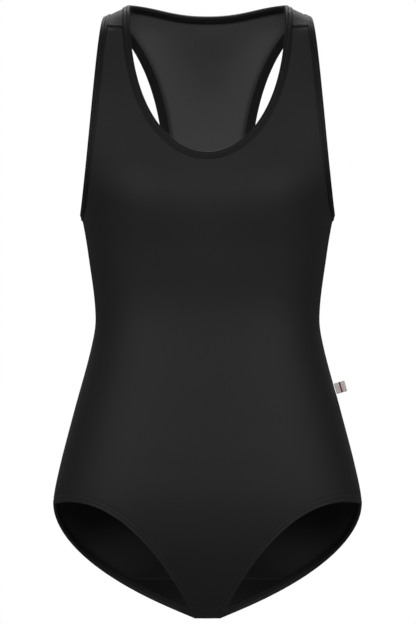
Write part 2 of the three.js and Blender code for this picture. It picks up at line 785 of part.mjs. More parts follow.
// The lining rides above the crotch seam and is caught between the two hems.
function gussetLining() {
  const top = UNDER - OVERLOCK - PLY_GAP;
  const ring = (station) => {
    const edge = inset(station, HEM_WIDTH + EDGE_CLEAR);
    const isBack = edge.a > SIDE;
    const reach = isBack ? Math.PI - edge.a : edge.a;
    const places = [];
    for (let i = 0; i <= GUSSET_COLUMNS; i += 1) {
      const turn = lerp(-reach, reach, i / GUSSET_COLUMNS);
      places.push({ a: isBack ? Math.PI - turn : turn, v: edge.v });
    }
    const low = places.map((place) => layer(place, top));
    const high = places.map((place) => layer(place, top - GUSSET_CLOTH));
    return [...low, ...high.reverse()];
  };
  const front = legEdge.slice(0, GUSSET_FRONT_ROWS + 1).reverse();
  const back = backOf(legEdge, GUSSET_BACK_ROWS).slice(1);
  return loft([...front, ...back].map(ring));
}

// ---- Labels ---------------------------------------------------------------------------------

const seamPoint = (z) => form(SIDE, levelOf(z));
const tagTilt = Math.atan2(
  seamPoint(TAG_Z + TAG_SIZE / 2).x - seamPoint(TAG_Z - TAG_SIZE / 2).x,
  TAG_SIZE,
);
const TAG_CLEARANCE = 0.6; // the ribbon turns clear of the seam

// A ribbon folded into a flat loop, whose open end is sewn into the side seam.
function sideTag() {
  const outside = TAG_PLY + TAG_FOLD / 2;
  const inside = TAG_FOLD / 2;
  const end = TAG_SIZE - outside;
  const shape = new THREE.Shape();
  shape.moveTo(0, -outside);
  shape.lineTo(end, -outside);
  shape.absarc(end, 0, outside, -Math.PI / 2, Math.PI / 2, false);
  shape.lineTo(0, outside);
  shape.lineTo(0, inside);
  shape.lineTo(end, inside);
  shape.absarc(end, 0, inside, Math.PI / 2, -Math.PI / 2, true);
  shape.lineTo(0, -inside);
  shape.closePath();
  const ribbon = new THREE.ExtrudeGeometry(shape, {
    depth: TAG_SIZE,
    bevelEnabled: false,
    curveSegments: 4,
  });
  ribbon.translate(TAG_CLEARANCE, 0, -TAG_SIZE / 2);
  ribbon.rotateY(tagTilt);
  const root = seamPoint(TAG_Z);
  ribbon.translate(root.x, root.y, root.z);
  return welded(ribbon);
}

function careLabel() {
  const sheet = new THREE.BoxGeometry(LABEL_WIDTH, LABEL_THICKNESS, LABEL_HEIGHT);
  sheet.translate(LABEL_WIDTH / 2 + LABEL_CLEARANCE, 0, 0);
  sheet.rotateZ(SIDE - LABEL_ANGLE);
  sheet.translate(-(seamPoint(WAIST_Z).x + UNDER - OVERLOCK), 0, WAIST_Z);
  return welded(sheet);
}

// ---- Assembly -------------------------------------------------------------------------------

const finish = (color, roughness) => new THREE.MeshStandardMaterial({ color, roughness, metalness: 0 });
const knit = finish(0x1f1f21, 0.62);
const knitBack = finish(0x242426, 0.66);
const bindingKnit = finish(0x161617, 0.6);
const elastic = finish(0x2b2b2d, 0.8);
const thread = finish(0x0d0d0e, 0.7);
const overlock = finish(0x18181a, 0.85);
const lining = finish(0x1a1a1c, 0.8);
const tapeCloth = finish(0x232325, 0.7);
const ribbonCloth = finish(0xe6e2e0, 0.6);
const labelCloth = finish(0xf0efec, 0.5);

const leotard = new THREE.Group();
leotard.name = "gymnastics_leotard";

function add(name, geometry, material) {
  const mesh = new THREE.Mesh(geometry, material);
  mesh.name = name;
  leotard.add(mesh);
}

function addPair(name, geometry, material) {
  add(`${name}_left`, geometry, material);
  add(`${name}_right`, mirrored(geometry), material);
}

add("front_panel", frontPanel(), knit);
add("back_panel", backPanel(), knitBack);
add("neck_binding", neckStrip(bindingSection), bindingKnit);
add("neck_elastic", neckStrip(elasticSection), elastic);
add("neck_stitching", neckStrip(threadSection(BINDING_STITCH, BINDING_TOP)), thread);
addPair("armhole_binding", strip(armEdge, bindingSection, true), bindingKnit);
addPair("armhole_elastic", strip(armEdge, elasticSection, true), elastic);
addPair("armhole_stitching", strip(armEdge, threadSection(BINDING_STITCH, BINDING_TOP), true), thread);
addPair("leg_hem", strip(legEdge, hemSection, true), knit);
addPair("leg_elastic", strip(legEdge, elasticSection, true), elastic);
HEM_STITCHES.forEach((distance, i) => {
  addPair(`leg_stitching_${i + 1}`, strip(legEdge, threadSection(distance, 0), true), thread);
});
addPair("side_seam", sideSeam(), overlock);
addPair("shoulder_seam", shoulderSeam(), overlock);
addPair("shoulder_tape", shoulderTape(), tapeCloth);
add("crotch_seam", crotchSeam(), overlock);
add("gusset_lining", gussetLining(), lining);
add("side_tag", sideTag(), ribbonCloth);
add("care_label", careLabel(), labelCloth);

export default leotard;
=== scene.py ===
"""Racerback gymnastics leotard: its cloth, edges, seams and labels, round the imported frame."""

import logging
import math
from dataclasses import dataclass
from enum import Enum
from typing import Callable, Sequence

import bmesh
import bpy
import numpy as np
from mathutils import Matrix, Vector


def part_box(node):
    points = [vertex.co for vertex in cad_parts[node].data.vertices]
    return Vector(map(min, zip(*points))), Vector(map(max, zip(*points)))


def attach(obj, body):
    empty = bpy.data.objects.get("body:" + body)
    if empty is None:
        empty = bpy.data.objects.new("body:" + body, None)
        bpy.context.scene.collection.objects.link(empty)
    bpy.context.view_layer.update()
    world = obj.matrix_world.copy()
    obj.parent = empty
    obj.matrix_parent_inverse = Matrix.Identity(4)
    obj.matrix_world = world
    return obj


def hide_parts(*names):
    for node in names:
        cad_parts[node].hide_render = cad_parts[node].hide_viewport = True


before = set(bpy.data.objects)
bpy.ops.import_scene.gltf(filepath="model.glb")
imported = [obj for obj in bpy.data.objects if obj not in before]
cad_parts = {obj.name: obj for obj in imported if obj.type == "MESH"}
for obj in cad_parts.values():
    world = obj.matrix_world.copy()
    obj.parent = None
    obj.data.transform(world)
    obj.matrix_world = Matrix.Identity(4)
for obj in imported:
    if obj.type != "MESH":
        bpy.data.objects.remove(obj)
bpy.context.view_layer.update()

LOG = logging.getLogger("leotard")
MM = 0.001
SIDE = math.pi / 2
HEM_ROWS = (3.0, 6.8)
WELD = 1e-6

Array = np.ndarray
Pair = tuple[float, float]
Section = Sequence[Pair]
Piece = bpy.types.Object
Socket = bpy.types.NodeSocket
Curve = Callable[[Array], tuple[Array, Array]]


# ---- The body form ---------------------------------------------------------------------------


@dataclass(frozen=True)
class Cut:
    """Driving sizes of the garment in its worn shape, in millimetres."""

    strap_top_z: float = 7.0
    strap_side_z: float = -6.0
    shoulder_seam_z: float = -14.6
    back_neck_z: float = -3.4
    front_neck_z: float = -146.0
    underarm_z: float = -210.0
    waist_z: float = -318.0
    seat_z: float = -475.0
    leg_side_z: float = -511.0
    crotch_z: float = -631.0
    neck_half: float = 81.0
    strap_width: float = 27.0
    underarm_half: float = 132.0
    waist_half: float = 116.5
    hip_half: float = 160.7
    crotch_half: float = 14.0
    racer_half: float = 47.0
    racer_z: float = -148.0
    bust_depth: float = 107.0
    blade_depth: float = 91.0
    waist_front: float = 86.0
    waist_back: float = 75.0
    belly_depth: float = 96.0
    seat_depth: float = 115.0
    cloth: float = 0.8
    binding_width: float = 8.0
    binding_pocket: float = 3.0
    hem_width: float = 8.0
    tag_z: float = -392.0
    tag_size: float = 11.4


def lerp(p: Array | float, q: Array | float, t: Array | float) -> Array | float:
    """Blend from p to q by the share t."""
    return p + (q - p) * t


def bell(distance: Array, spread: float) -> Array:
    """A soft rise of one, centred on distance zero."""
    return np.exp(-0.5 * (distance / spread) ** 2)


class Profile:
    """A smooth curve through a few knots of height and value, straight beyond its ends."""

    def __init__(self, knots: Sequence[tuple[float, float]]) -> None:
        """Keep the knots in order of height.

        Args:
            knots: Pairs of height and value.
        """
        ordered = sorted(knots)
        self.z = np.array([k[0] for k in ordered])
        self.value = np.array([k[1] for k in ordered])
        count = len(ordered)
        low = np.maximum(np.arange(count) - 1, 0)
        high = np.minimum(np.arange(count) + 1, count - 1)
        self.slope = (self.value[high] - self.value[low]) / (self.z[high] - self.z[low])

    def __call__(self, z: Array) -> Array:
        """The curve's value at each height.

        Args:
            z: Heights in millimetres.

        Returns:
            The values there.
        """
        z = np.asarray(z, float)
        i = np.clip(np.searchsorted(self.z, z, side="right") - 1, 0, len(self.z) - 2)
        step = self.z[i + 1] - self.z[i]
        t = (z - self.z[i]) / step
        rise = lerp(self.value[i], self.value[i + 1], t * t * (3 - 2 * t))
        bend = self.slope[i] * (1 - t) ** 2 * t - self.slope[i + 1] * (1 - t) * t * t
        value = rise + bend * step
        below = self.value[0] + self.slope[0] * (z - self.z[0])
        above = self.value[-1] + self.slope[-1] * (z - self.z[-1])
        return np.where(z <= self.z[0], below, np.where(z >= self.z[-1], above, value))


@dataclass(frozen=True)
class Mound:
    """A soft rise of the form, the same on both sides of the body."""

    facing: int
    x: float
    z: float
    rise: float
    wide: float
    tall: float


class BodyForm:
    """The smooth body that the cloth lies on. A place on it is an angle round and a level up."""

    squareness = 0.078
    bowl_power = 2.2
    front_fall = 1 / 1.7
    back_fall = 1 / 1.8
    walk_steps = 3
    seen_steps = 8

    def __init__(self, cut: Cut) -> None:
        """Lay the form's curves through the garment's driving sizes.

        Args:
            cut: The garment's sizes.
        """
        self.cut = cut
        self.bowl = cut.seat_z - cut.crotch_z
        self.v_low = -self.bowl * math.pi / 2
        top, side = cut.strap_top_z, cut.strap_side_z
        chest = lambda share: lerp(side, cut.underarm_z, share)
        rib = lambda share: lerp(cut.underarm_z, cut.waist_z, share)
        hip = lambda share: lerp(cut.waist_z, cut.leg_side_z, share)
        low = lambda share: lerp(cut.leg_side_z, cut.crotch_z, share)
        seat = lambda share: lerp(cut.waist_z, cut.seat_z, share)
        width = lambda share: lerp(cut.waist_half, cut.hip_half, share)
        self.low = low
        self.half_width = Profile([
            (top, cut.neck_half), (side, cut.neck_half + cut.strap_width),
            (chest(0.09), 139), (chest(0.22), 157), (chest(0.4), 166), (chest(0.58), 163),
            (chest(0.76), 153), (chest(0.88), cut.underarm_half + 11),
            (cut.underarm_z, cut.underarm_half),
            (rib(0.45), lerp(cut.underarm_half, cut.waist_half, 0.57)),
            (cut.waist_z, cut.waist_half),
            (hip(0.17), width(0.11)), (hip(0.5), width(0.5)), (hip(0.82), width(0.86)),
            (cut.leg_side_z, cut.hip_half),
            (low(0.25), cut.hip_half - 2), (low(0.53), cut.hip_half - 15),
            (low(0.78), cut.hip_half - 35), (cut.crotch_z, cut.hip_half - 57),
        ])
        self.front_depth = Profile([
            (top, 34), (side, 42), (chest(0.07), 51), (chest(0.22), 69), (chest(0.41), 86),
            (chest(0.66), cut.bust_depth - 7), (chest(0.9), cut.bust_depth),
            (rib(0.37), lerp(cut.bust_depth, cut.waist_front, 0.48)),
            (cut.waist_z, cut.waist_front),
            (seat(0.52), lerp(cut.waist_front, cut.belly_depth, 0.65)),
            (seat(0.87), cut.belly_depth), (cut.seat_z, cut.belly_depth),
        ])
        self.back_depth = Profile([
            (top, 38), (side, 45), (chest(0.07), 54), (chest(0.22), 68), (chest(0.41), 80),
            (chest(0.66), cut.blade_depth - 3), (chest(0.88), cut.blade_depth),
            (rib(0.37), lerp(cut.blade_depth, cut.waist_back, 0.5)),
            (cut.waist_z, cut.waist_back),
            (seat(0.46), lerp(cut.waist_back, cut.seat_depth, 0.43)),
            (seat(0.78), cut.seat_depth - 6), (cut.seat_z, cut.seat_depth),
        ])
        self.middle = Profile([
            (top, 8), (chest(0.26), 6.5), (chest(0.6), 3), (cut.underarm_z, 0),
            (cut.seat_z, 0), (low(0.4), 2.5), (cut.crotch_z, 8),
        ])
        self.mounds = (
            Mound(1, 70, chest(0.89), 11, 36, 42),
            Mound(-1, 68, cut.seat_z + 5, 10, 40, 46),
            Mound(-1, 62, chest(0.7), 4, 34, 40),
        )
        self.spine = Mound(-1, 0, cut.waist_z, -5, 18, 60)

    def mound_at(self, x: Array, z: Array, c: Array) -> Array:
        """How far the soft rises push the form out, towards the front.

        Args:
            x: Places across.
            z: Heights.
            c: Cosines of the angles round the body.

        Returns:
            The push towards the front, in millimetres.
        """
        rise = np.zeros_like(z)
        for m in self.mounds:
            share = np.maximum(c * m.facing, 0) * bell(z - m.z, m.tall)
            rise += m.rise * share * (bell(x - m.x, m.wide) + bell(x + m.x, m.wide)) * m.facing
        s = self.spine
        hollow = np.maximum(-c, 0) * bell(z - s.z, s.tall) * bell(x, s.wide)
        return rise - s.rise * hollow

    def height(self, v: Array) -> Array:
        """The height of a level."""
        dip = np.minimum(np.maximum(-v, 0) / self.bowl, math.pi / 2)
        return self.cut.seat_z + np.where(v >= 0, v, -self.bowl * np.sin(dip))

    def level(self, z: Array | float) -> Array:
        """The level of a height."""
        z = np.asarray(z, float)
        drop = np.clip((self.cut.seat_z - z) / self.bowl, 0, 1)
        return np.where(z >= self.cut.seat_z, z - self.cut.seat_z, -self.bowl * np.arcsin(drop))

    def point(self, a: Array, v: Array) -> Array:
        """The points of the form at angles a and levels v.

        Args:
            a: Angles round the body, 0 at the centre front.
            v: Levels, which rise with height.

        Returns:
            One row of x, y, z for each place, in millimetres.
        """
        a, v = np.broadcast_arrays(np.asarray(a, float), np.asarray(v, float))
        z = self.height(v)
        s, c = np.sin(a), np.cos(a)
        dip = np.sin(np.minimum(np.maximum(-v, 0) / self.bowl, math.pi / 2))
        deep = np.maximum(1 - dip ** self.bowl_power, 0)
        top = np.maximum(z, self.cut.seat_z)
        front = self.front_depth(top) * deep ** self.front_fall
        back = self.back_depth(top) * deep ** self.back_fall
        depth = np.where(c > 0, front, back)
        x = self.half_width(z) * s * (1 + self.squareness * c * c)
        y = self.middle(z) - depth * c * (1 + self.squareness * s * s)
        y = y - self.mound_at(x, z, c) * np.sqrt(deep)
        return np.stack([x, y, z], axis=-1)

    def slopes(self, a: Array, v: Array) -> tuple[Array, Array]:
        """The form's two directions at places: per radian round, and per millimetre of level."""
        da, dv = 0.004, 0.4
        low = np.maximum(v - dv, self.v_low)
        along = (self.point(a + da, v) - self.point(a - da, v)) / (2 * da)
        up = (self.point(a, v + dv) - self.point(a, low)) / (v + dv - low)[..., None]
        return along, up

    def normal(self, a: Array, v: Array) -> Array:
        """The form's outward direction at places."""
        along, up = self.slopes(a, v)
        n = np.cross(along, up)
        return n / np.linalg.norm(n, axis=-1, keepdims=True)

    def layer(self, a: Array, v: Array, rise: Array | float) -> Array:
        """Points that stand a height above the form, or a depth below it."""
        rise = np.broadcast_to(np.asarray(rise, float), np.shape(a))
        return self.point(a, v) + self.normal(a, v) * rise[..., None]

    def walk(self, a: Array, v: Array, direction: Array, distance: float) -> tuple[Array, Array]:
        """Move places along the form.

        Args:
            a: Angles of the places.
            v: Levels of the places.
            direction: Unit directions, one row for each place.
            distance: How far to go, in millimetres.

        Returns:
            The angles and levels that are reached.
        """
        steps = self.walk_steps
        for _ in range(steps):
            along, up = self.slopes(a, v)
            pairs = ((along, along), (along, up), (up, up))
            aa, au, uu = (np.sum(p * q, axis=-1) for p, q in pairs)
            da = np.sum(along * direction, axis=-1) * distance / steps
            du = np.sum(up * direction, axis=-1) * distance / steps
            det = aa * uu - au * au
            a = a + (da * uu - du * au) / det
            v = np.maximum(v + (du * aa - da * au) / det, self.v_low)
        return a, v

    def seen_at(self, x: Array, z: Array, is_back: bool = False) -> tuple[Array, Array]:
        """The places on the form that lie at (x, z) when they are seen from in front."""
        share = np.minimum(x / self.half_width(z), 1)
        s = share
        for _ in range(self.seen_steps):
            s = np.minimum(share / (1 + self.squareness * (1 - s * s)), 1)
        a = np.arcsin(s)
        return (math.pi - a if is_back else a), self.level(z)


def bezier(p0: Pair, p1: Pair, p2: Pair, p3: Pair) -> Curve:
    """A cubic curve in the front view, as a function of t that gives x and z."""
    p = np.array([p0, p1, p2, p3], float)

    def at(t: Array) -> tuple[Array, Array]:
        """The curve's x and z at t."""
        t = np.asarray(t, float)[..., None]
        w = np.concatenate(
            [(1 - t) ** 3, 3 * (1 - t) ** 2 * t, 3 * (1 - t) * t * t, t ** 3], axis=-1)
        q = w @ p
        return q[..., 0], q[..., 1]

    return at


@dataclass
class EdgeLine:
    """Places along a finished edge, each with its direction towards the cloth."""

    form: BodyForm
    a: Array
    v: Array
    inward: Array
    closed: bool = True

    @classmethod
    def through(cls, form: BodyForm, a: Array, v: Array, side: int, closed: bool) -> "EdgeLine":
        """Find the direction towards the cloth at each place.

        Args:
            form: The body form.
            a: Angles of the places.
            v: Levels of the places.
            side: 1 or -1, the hand on which the cloth lies.
            closed: Whether the line comes back to its start.

        Returns:
            The finished line.
        """
        p = form.point(a, v)
        flip = np.array([-1.0, 1.0, 1.0])
        before, after = np.roll(p, 1, axis=0), np.roll(p, -1, axis=0)
        if not closed:
            before[0], after[-1] = p[1] * flip, p[-2] * flip
        unit = lambda d: d / np.linalg.norm(d, axis=-1, keepdims=True)
        forward = unit(after - p) + unit(p - before)
        inward = unit(np.cross(forward, form.normal(a, v))) * side
        return cls(form, a, v, inward, closed)

    def part(self, keep: slice, turn: bool = False) -> "EdgeLine":
        """A stretch of the line, turned round if asked."""
        pick = [x[keep][::-1] if turn else x[keep] for x in (self.a, self.v, self.inward)]
        return EdgeLine(self.form, *pick, False)

    def mirrored(self) -> "EdgeLine":
        """The same line on the other side of the body."""
        inward = self.inward * np.array([-1.0, 1, 1])
        return EdgeLine(self.form, -self.a, self.v, inward, self.closed)

    def inset(self, distance: float) -> tuple[Array, Array]:
        """The places a distance in from the edge."""
        return self.form.walk(self.a, self.v, self.inward, distance)

    def rail(self, distance: float, rise: float) -> Array:
        """Points at a distance in from the edge and a height above the form."""
        return self.form.layer(*self.inset(distance), rise)


def run_of(points: Array) -> Array:
    """The length run at each point of a line."""
    steps = np.linalg.norm(np.diff(points, axis=0), axis=-1)
    return np.concatenate([[0.0], np.cumsum(steps)])


def spread(form: BodyForm, curve: Curve, count: int, ease: float = 1.0) -> tuple[Array, Array]:
    """Places spread along a curve at equal lengths, or closer towards its end.

    Args:
        form: The body form.
        curve: A function of t that gives angles and levels.
        count: How many steps there are.
        ease: 1 for equal steps, more to bring them closer at the end.

    Returns:
        Angles and levels of the places.
    """
    samples = 1441
    t = np.linspace(0, 1, samples)
    run = run_of(form.point(*curve(t)))
    share = 1 - (1 - np.linspace(0, 1, count + 1)) ** ease
    return curve(np.interp(share * run[-1], run, t))


def chain(*parts: tuple[Curve, float, float]) -> Curve:
    """Join curves end to end, each with the t it starts and stops at, into one curve."""

    def at(t: Array) -> tuple[Array, Array]:
        """Angles and levels at t."""
        t = np.asarray(t, float)
        i = np.minimum((t * len(parts)).astype(int), len(parts) - 1)
        a, v = np.zeros_like(t), np.zeros_like(t)
        for k, (curve, start, stop) in enumerate(parts):
            pick = i == k
            a[pick], v[pick] = curve(lerp(start, stop, t[pick] * len(parts) - k))
        return a, v

    return at


class Pattern:
    """The garment's edge lines and panels' rows, drawn on the body form."""

    neck_fullness = 0.851
    neck_levelling = 1.2
    row_bend = 1.8
    leg_steps, side_steps, neck_steps, back_neck_steps = 96, 84, 100, 56
    front_centre_steps, back_centre_steps = 32, 96
    crest_ease = 1.2
    crest_nudge = 0.06 * 1.6
    seam_gap = 0.0017
    seam_hold = 40
    leg_row_rise = 75
    arm_row_drop_front, arm_row_drop_back = 25, 55
    crotch_inner_rise, crotch_outer_rise = 0.6, 0.84

    def __init__(self, form: BodyForm) -> None:
        """Draw every edge of the garment.

        Args:
            form: The body form.
        """
        self.form = form
        cut = form.cut
        self.neck_deep = cut.strap_top_z - cut.front_neck_z
        share = (cut.strap_top_z - cut.shoulder_seam_z) / self.neck_deep
        neck_seam = math.acos(share ** (1 / self.neck_fullness)) * 2 / math.pi
        strap_x = cut.neck_half + cut.strap_width
        up = lambda low, t: lerp(low, cut.strap_side_z, t)
        underarm = (cut.underarm_half, cut.underarm_z)
        strap_side = (strap_x, cut.strap_side_z)
        racer = (cut.racer_half, cut.racer_z)
        crotch = (cut.crotch_half, cut.crotch_z)
        leg_side = (cut.hip_half, cut.leg_side_z)
        arm_front = bezier(
            underarm, (cut.underarm_half - 9.5, up(cut.underarm_z, 0.35)),
            (strap_x + 6.5, cut.strap_side_z), strap_side)
        arm_low = bezier(
            underarm, (cut.underarm_half - 27, cut.underarm_z - 8),
            (cut.racer_half + 1, lerp(cut.racer_z, cut.underarm_z, 0.68)), racer)
        arm_high = bezier(
            racer, (cut.racer_half, up(cut.racer_z, 0.15)),
            (cut.racer_half + 9.5, up(cut.racer_z, 0.75)), strap_side)
        leg_front = bezier(
            crotch, (cut.crotch_half + 42, form.low(0.28)),
            (cut.hip_half - 51, form.low(-0.1)), leg_side)
        leg_back = bezier(
            crotch, (lerp(cut.crotch_half, cut.hip_half, 0.71), form.low(0.68)),
            (cut.hip_half + 0.7, form.low(0.29)), leg_side)
        on = lambda curve, back: lambda t: form.seen_at(*curve(t), back)
        fine = np.linspace(0, 1, 4001)
        arm_seam = float(np.interp(cut.shoulder_seam_z, arm_front(fine)[1], fine))
        arm_steps_front = self.front_centre_steps + self.neck_steps
        arm_steps_back = self.back_centre_steps + self.back_neck_steps
        front = spread(form, chain((self.neck_front, 0, neck_seam)), self.neck_steps)
        back = spread(form, chain((self.neck_back, 0, 1), (self.neck_front, 1, neck_seam)),
                      self.back_neck_steps, self.crest_ease)
        self.neck_half = self.loop(front, back, 1, drop=0, closed=False)
        arm_f = spread(form, chain((on(arm_front, False), 0, arm_seam)), arm_steps_front)
        arm_b = spread(
            form,
            chain((on(arm_low, True), 0, 1), (on(arm_high, True), 0, 1),
                  (on(arm_front, False), 1, arm_seam)),
            arm_steps_back, self.crest_ease)
        self.arm = self.loop(arm_f, arm_b, -1, drop=1)
        leg_f = spread(form, on(leg_front, False), self.leg_steps)
        leg_b = spread(form, on(leg_back, True), self.leg_steps)
        self.leg = self.loop(leg_f, leg_b, -1, drop=1)
        self.neck = self.whole_neck()

    def neck_front(self, t: Array) -> tuple[Array, Array]:
        """The front neckline, from the centre at t = 0 to the strap's crest at t = 1."""
        turn = np.asarray(t, float) * math.pi / 2
        cut = self.form.cut
        z = cut.strap_top_z - self.neck_deep * np.maximum(np.cos(turn), 0) ** self.neck_fullness
        return self.form.seen_at(cut.neck_half * np.sin(turn), z)

    def neck_back(self, t: Array) -> tuple[Array, Array]:
        """The back neckline, from the centre at t = 0 to the strap's crest at t = 1."""
        cut = self.form.cut
        share = np.sin(np.asarray(t, float) * math.pi / 2)
        rise = (1 - np.cos(math.pi * share ** self.neck_levelling)) / 2
        z = lerp(cut.back_neck_z, cut.strap_top_z, rise)
        return self.form.seen_at(cut.neck_half * share, z, True)

    def loop(
        self, front: tuple[Array, Array], back: tuple[Array, Array], side: int, drop: int,
        closed: bool = True,
    ) -> EdgeLine:
        """Join a front line that runs up to a back line that runs down.

        Args:
            front: Angles and levels up the front.
            back: Angles and levels up the back.
            side: 1 or -1, the hand on which the cloth lies.
            drop: How many of the back's first places are left out.
            closed: Whether the line comes back to its start.

        Returns:
            The finished line.
        """
        a, v = (np.concatenate([f, b[drop:-1][::-1]]) for f, b in zip(front, back))
        return EdgeLine.through(self.form, a, v, side, closed)

    def whole_neck(self) -> EdgeLine:
        """The neckline all the way round."""
        half = self.neck_half
        other = half.mirrored()
        join = lambda p, q: np.concatenate([p, q[1:-1][::-1]])
        return EdgeLine(
            self.form, join(half.a, other.a), join(half.v, other.v),
            join(half.inward, other.inward))

    def rows(self, is_back: bool, leg_inset: float) -> tuple[Array, Array, Array, Array]:
        """The rows of half a panel, from the centre or the neck out to its outer edge.

        Args:
            is_back: Whether it is the back panel.
            leg_inset: How far the cloth stays in from the leg's edge.

        Returns:
            Angles and levels of the rows' inner ends, and of their outer ends.
        """
        form, cut = self.form, self.form.cut
        sign = -1 if is_back else 1
        centre = math.pi if is_back else 0.0
        seam = SIDE - sign * self.seam_gap
        beyond = np.maximum if is_back else np.minimum
        held_below = cut.underarm_z + self.seam_hold
        hold = lambda a, v: np.where(form.height(v) < held_below, beyond(a, seam), a)
        leg_top = float(form.level(cut.leg_side_z + self.leg_row_rise))
        arm_drop = self.arm_row_drop_back if is_back else self.arm_row_drop_front
        arm_low = float(form.level(cut.underarm_z - arm_drop))
        low = float(form.level(cut.leg_side_z)) + leg_inset
        high = float(form.level(cut.underarm_z)) - cut.binding_pocket
        n = self.leg_steps
        if is_back:
            leg = self.leg.part(slice(n, None), turn=True)
            leg = EdgeLine(form, *(np.concatenate([[x0], x]) for x0, x in (
                (math.pi - self.leg.a[0], leg.a), (self.leg.v[0], leg.v))),
                np.concatenate([self.leg.inward[:1], leg.inward]), False)
            first = len(self.arm.a) - self.back_centre_steps - self.back_neck_steps
            arm = self.arm.part(slice(first, None), True)
            arm = EdgeLine(form, *(np.concatenate([x[:1], y]) for x, y in (
                (self.arm.a, arm.a), (self.arm.v, arm.v), (self.arm.inward, arm.inward))), False)
            neck = self.neck_half.part(slice(-self.back_neck_steps - 1, None), True)
            split = self.back_centre_steps
        else:
            leg = self.leg.part(slice(0, n + 1))
            arm = self.arm.part(slice(0, self.front_centre_steps + self.neck_steps + 1))
            neck = self.neck_half.part(slice(0, self.neck_steps + 1))
            split = self.front_centre_steps
        la, lv = leg.inset(leg_inset)
        la, lv = hold(la, lv), lv.copy()
        la[-1], lv[-1] = seam, low
        rise = np.linspace(0, 1, n + 1)
        leg_in = lerp(form.v_low, leg_top, rise)
        leg_in[0] = form.v_low + self.crotch_inner_rise
        lv[0] = form.v_low + self.crotch_outer_rise
        t = np.linspace(0, 1, self.side_steps + 1)[1:-1]
        aa, av = arm.inset(cut.binding_pocket)
        aa, av = hold(aa, av), av.copy()
        aa[0], av[0] = seam, high
        na, nv = neck.inset(cut.binding_pocket)
        na, nv = na.copy(), nv.copy()
        nudge = self.crest_nudge * sign
        nv[-1] -= nudge
        av[-1] -= nudge
        up = lerp(arm_low, nv[0], np.linspace(0, 1, split + 1))
        inner_a = np.concatenate([np.full(n + 1 + len(t) + split + 1, centre), na[1:]])
        inner_v = np.concatenate([leg_in, lerp(leg_top, arm_low, t), up, nv[1:]])
        outer_a = np.concatenate([la, np.full(len(t), seam), aa])
        outer_v = np.concatenate([lv, lerp(low, high, t), av])
        return inner_a, inner_v, outer_a, outer_v


# ---- Meshes ----------------------------------------------------------------------------------


def smooth_object(name: str, bm: bmesh.types.BMesh) -> Piece:
    """Turn a bmesh into a smooth-shaded object at the origin.

    Args:
        name: The object's name.
        bm: The bmesh, which is freed.

    Returns:
        The new object, linked to the scene.
    """
    mesh = bpy.data.meshes.new(name)
    bm.to_mesh(mesh)
    bm.free()
    mesh.polygons.foreach_set("use_smooth", np.ones(len(mesh.polygons), bool))
    piece = bpy.data.objects.new(name, mesh)
    bpy.context.scene.collection.objects.link(piece)
    return piece


def lay_grid(
    points: Array, uv: Array, wear_and_shade: Array, close_rows: bool, outward: Array,
) -> bmesh.types.BMesh:
    """Shape a bmesh grid to a table of points.

    Args:
        points: Points in millimetres, by row and column.
        uv: Each point's place on the flat cloth, in metres.
        wear_and_shade: Each point's share of edge wear, 0 to 1, which a painted shade takes below 0.
        close_rows: Whether the last row comes back to the first.
        outward: The outward direction at the middle row's first point.

    Returns:
        The shaped bmesh, with a UV layer and a layer of edge wear and painted shade.
    """
    rows, columns = points.shape[:2]
    bm = bmesh.new()
    bmesh.ops.create_grid(bm, x_segments=columns - 1, y_segments=rows - 1, size=0.5)
    flat = bm.loops.layers.uv.new("flat")
    # This layer holds edge wear above zero, and painted shade below zero.
    rub = bm.verts.layers.float.new("wear_and_shade")
    place = {}
    for vert in bm.verts:
        i = round((vert.co.y + 0.5) * (rows - 1))
        j = round((vert.co.x + 0.5) * (columns - 1))
        place[vert.index] = (i, j)
    bm.verts.index_update()
    for face in bm.faces:
        for loop in face.loops:
            loop[flat].uv = uv[place[loop.vert.index]]
    for vert in bm.verts:
        i, j = place[vert.index]
        vert.co = Vector(points[i, j] * MM)
        vert[rub] = float(wear_and_shade[i, j])
    bm.normal_update()
    probe = Vector(points[rows // 2, 0] * MM)
    face = min(bm.faces, key=lambda f: (f.calc_center_median() - probe).length_squared)
    if face.normal.dot(Vector(outward)) < 0:
        bmesh.ops.reverse_faces(bm, faces=bm.faces)
    if close_rows:
        bmesh.ops.remove_doubles(bm, verts=bm.verts, dist=WELD)
    return bm


def welded(piece: Piece) -> bmesh.types.BMesh:
    """A piece's mesh, with its doubled points merged."""
    bm = bmesh.new()
    bm.from_mesh(piece.data)
    bmesh.ops.remove_doubles(bm, verts=bm.verts, dist=WELD)
    return bm


def thicken(piece: Piece, thickness: float, has_inside: bool = False) -> None:
    """Give a cloth piece its thickness, inwards from its face.

    Args:
        piece: The piece.
        thickness: In millimetres.
        has_inside: Whether its second material dresses the inside.
    """
    solid = piece.modifiers.new("cloth", "SOLIDIFY")
    solid.thickness = thickness * MM
    solid.offset = -1
    solid.use_even_offset = False
    solid.use_rim = True
    if has_inside:
        solid.material_offset = 1


def bumps(distance: Array, places: Sequence[float], spread_mm: float) -> Array:
    """The sum of soft rises at a few distances."""
    return sum(bell(distance - p, spread_mm) for p in places)


# ---- Finishes --------------------------------------------------------------------------------


class Weave(Enum):
    """How a cloth is made, which sets its fine pattern."""

    KNIT = "knit_loops"
    SATIN = "satin_floats"
    RIB = "elastic_ribs"


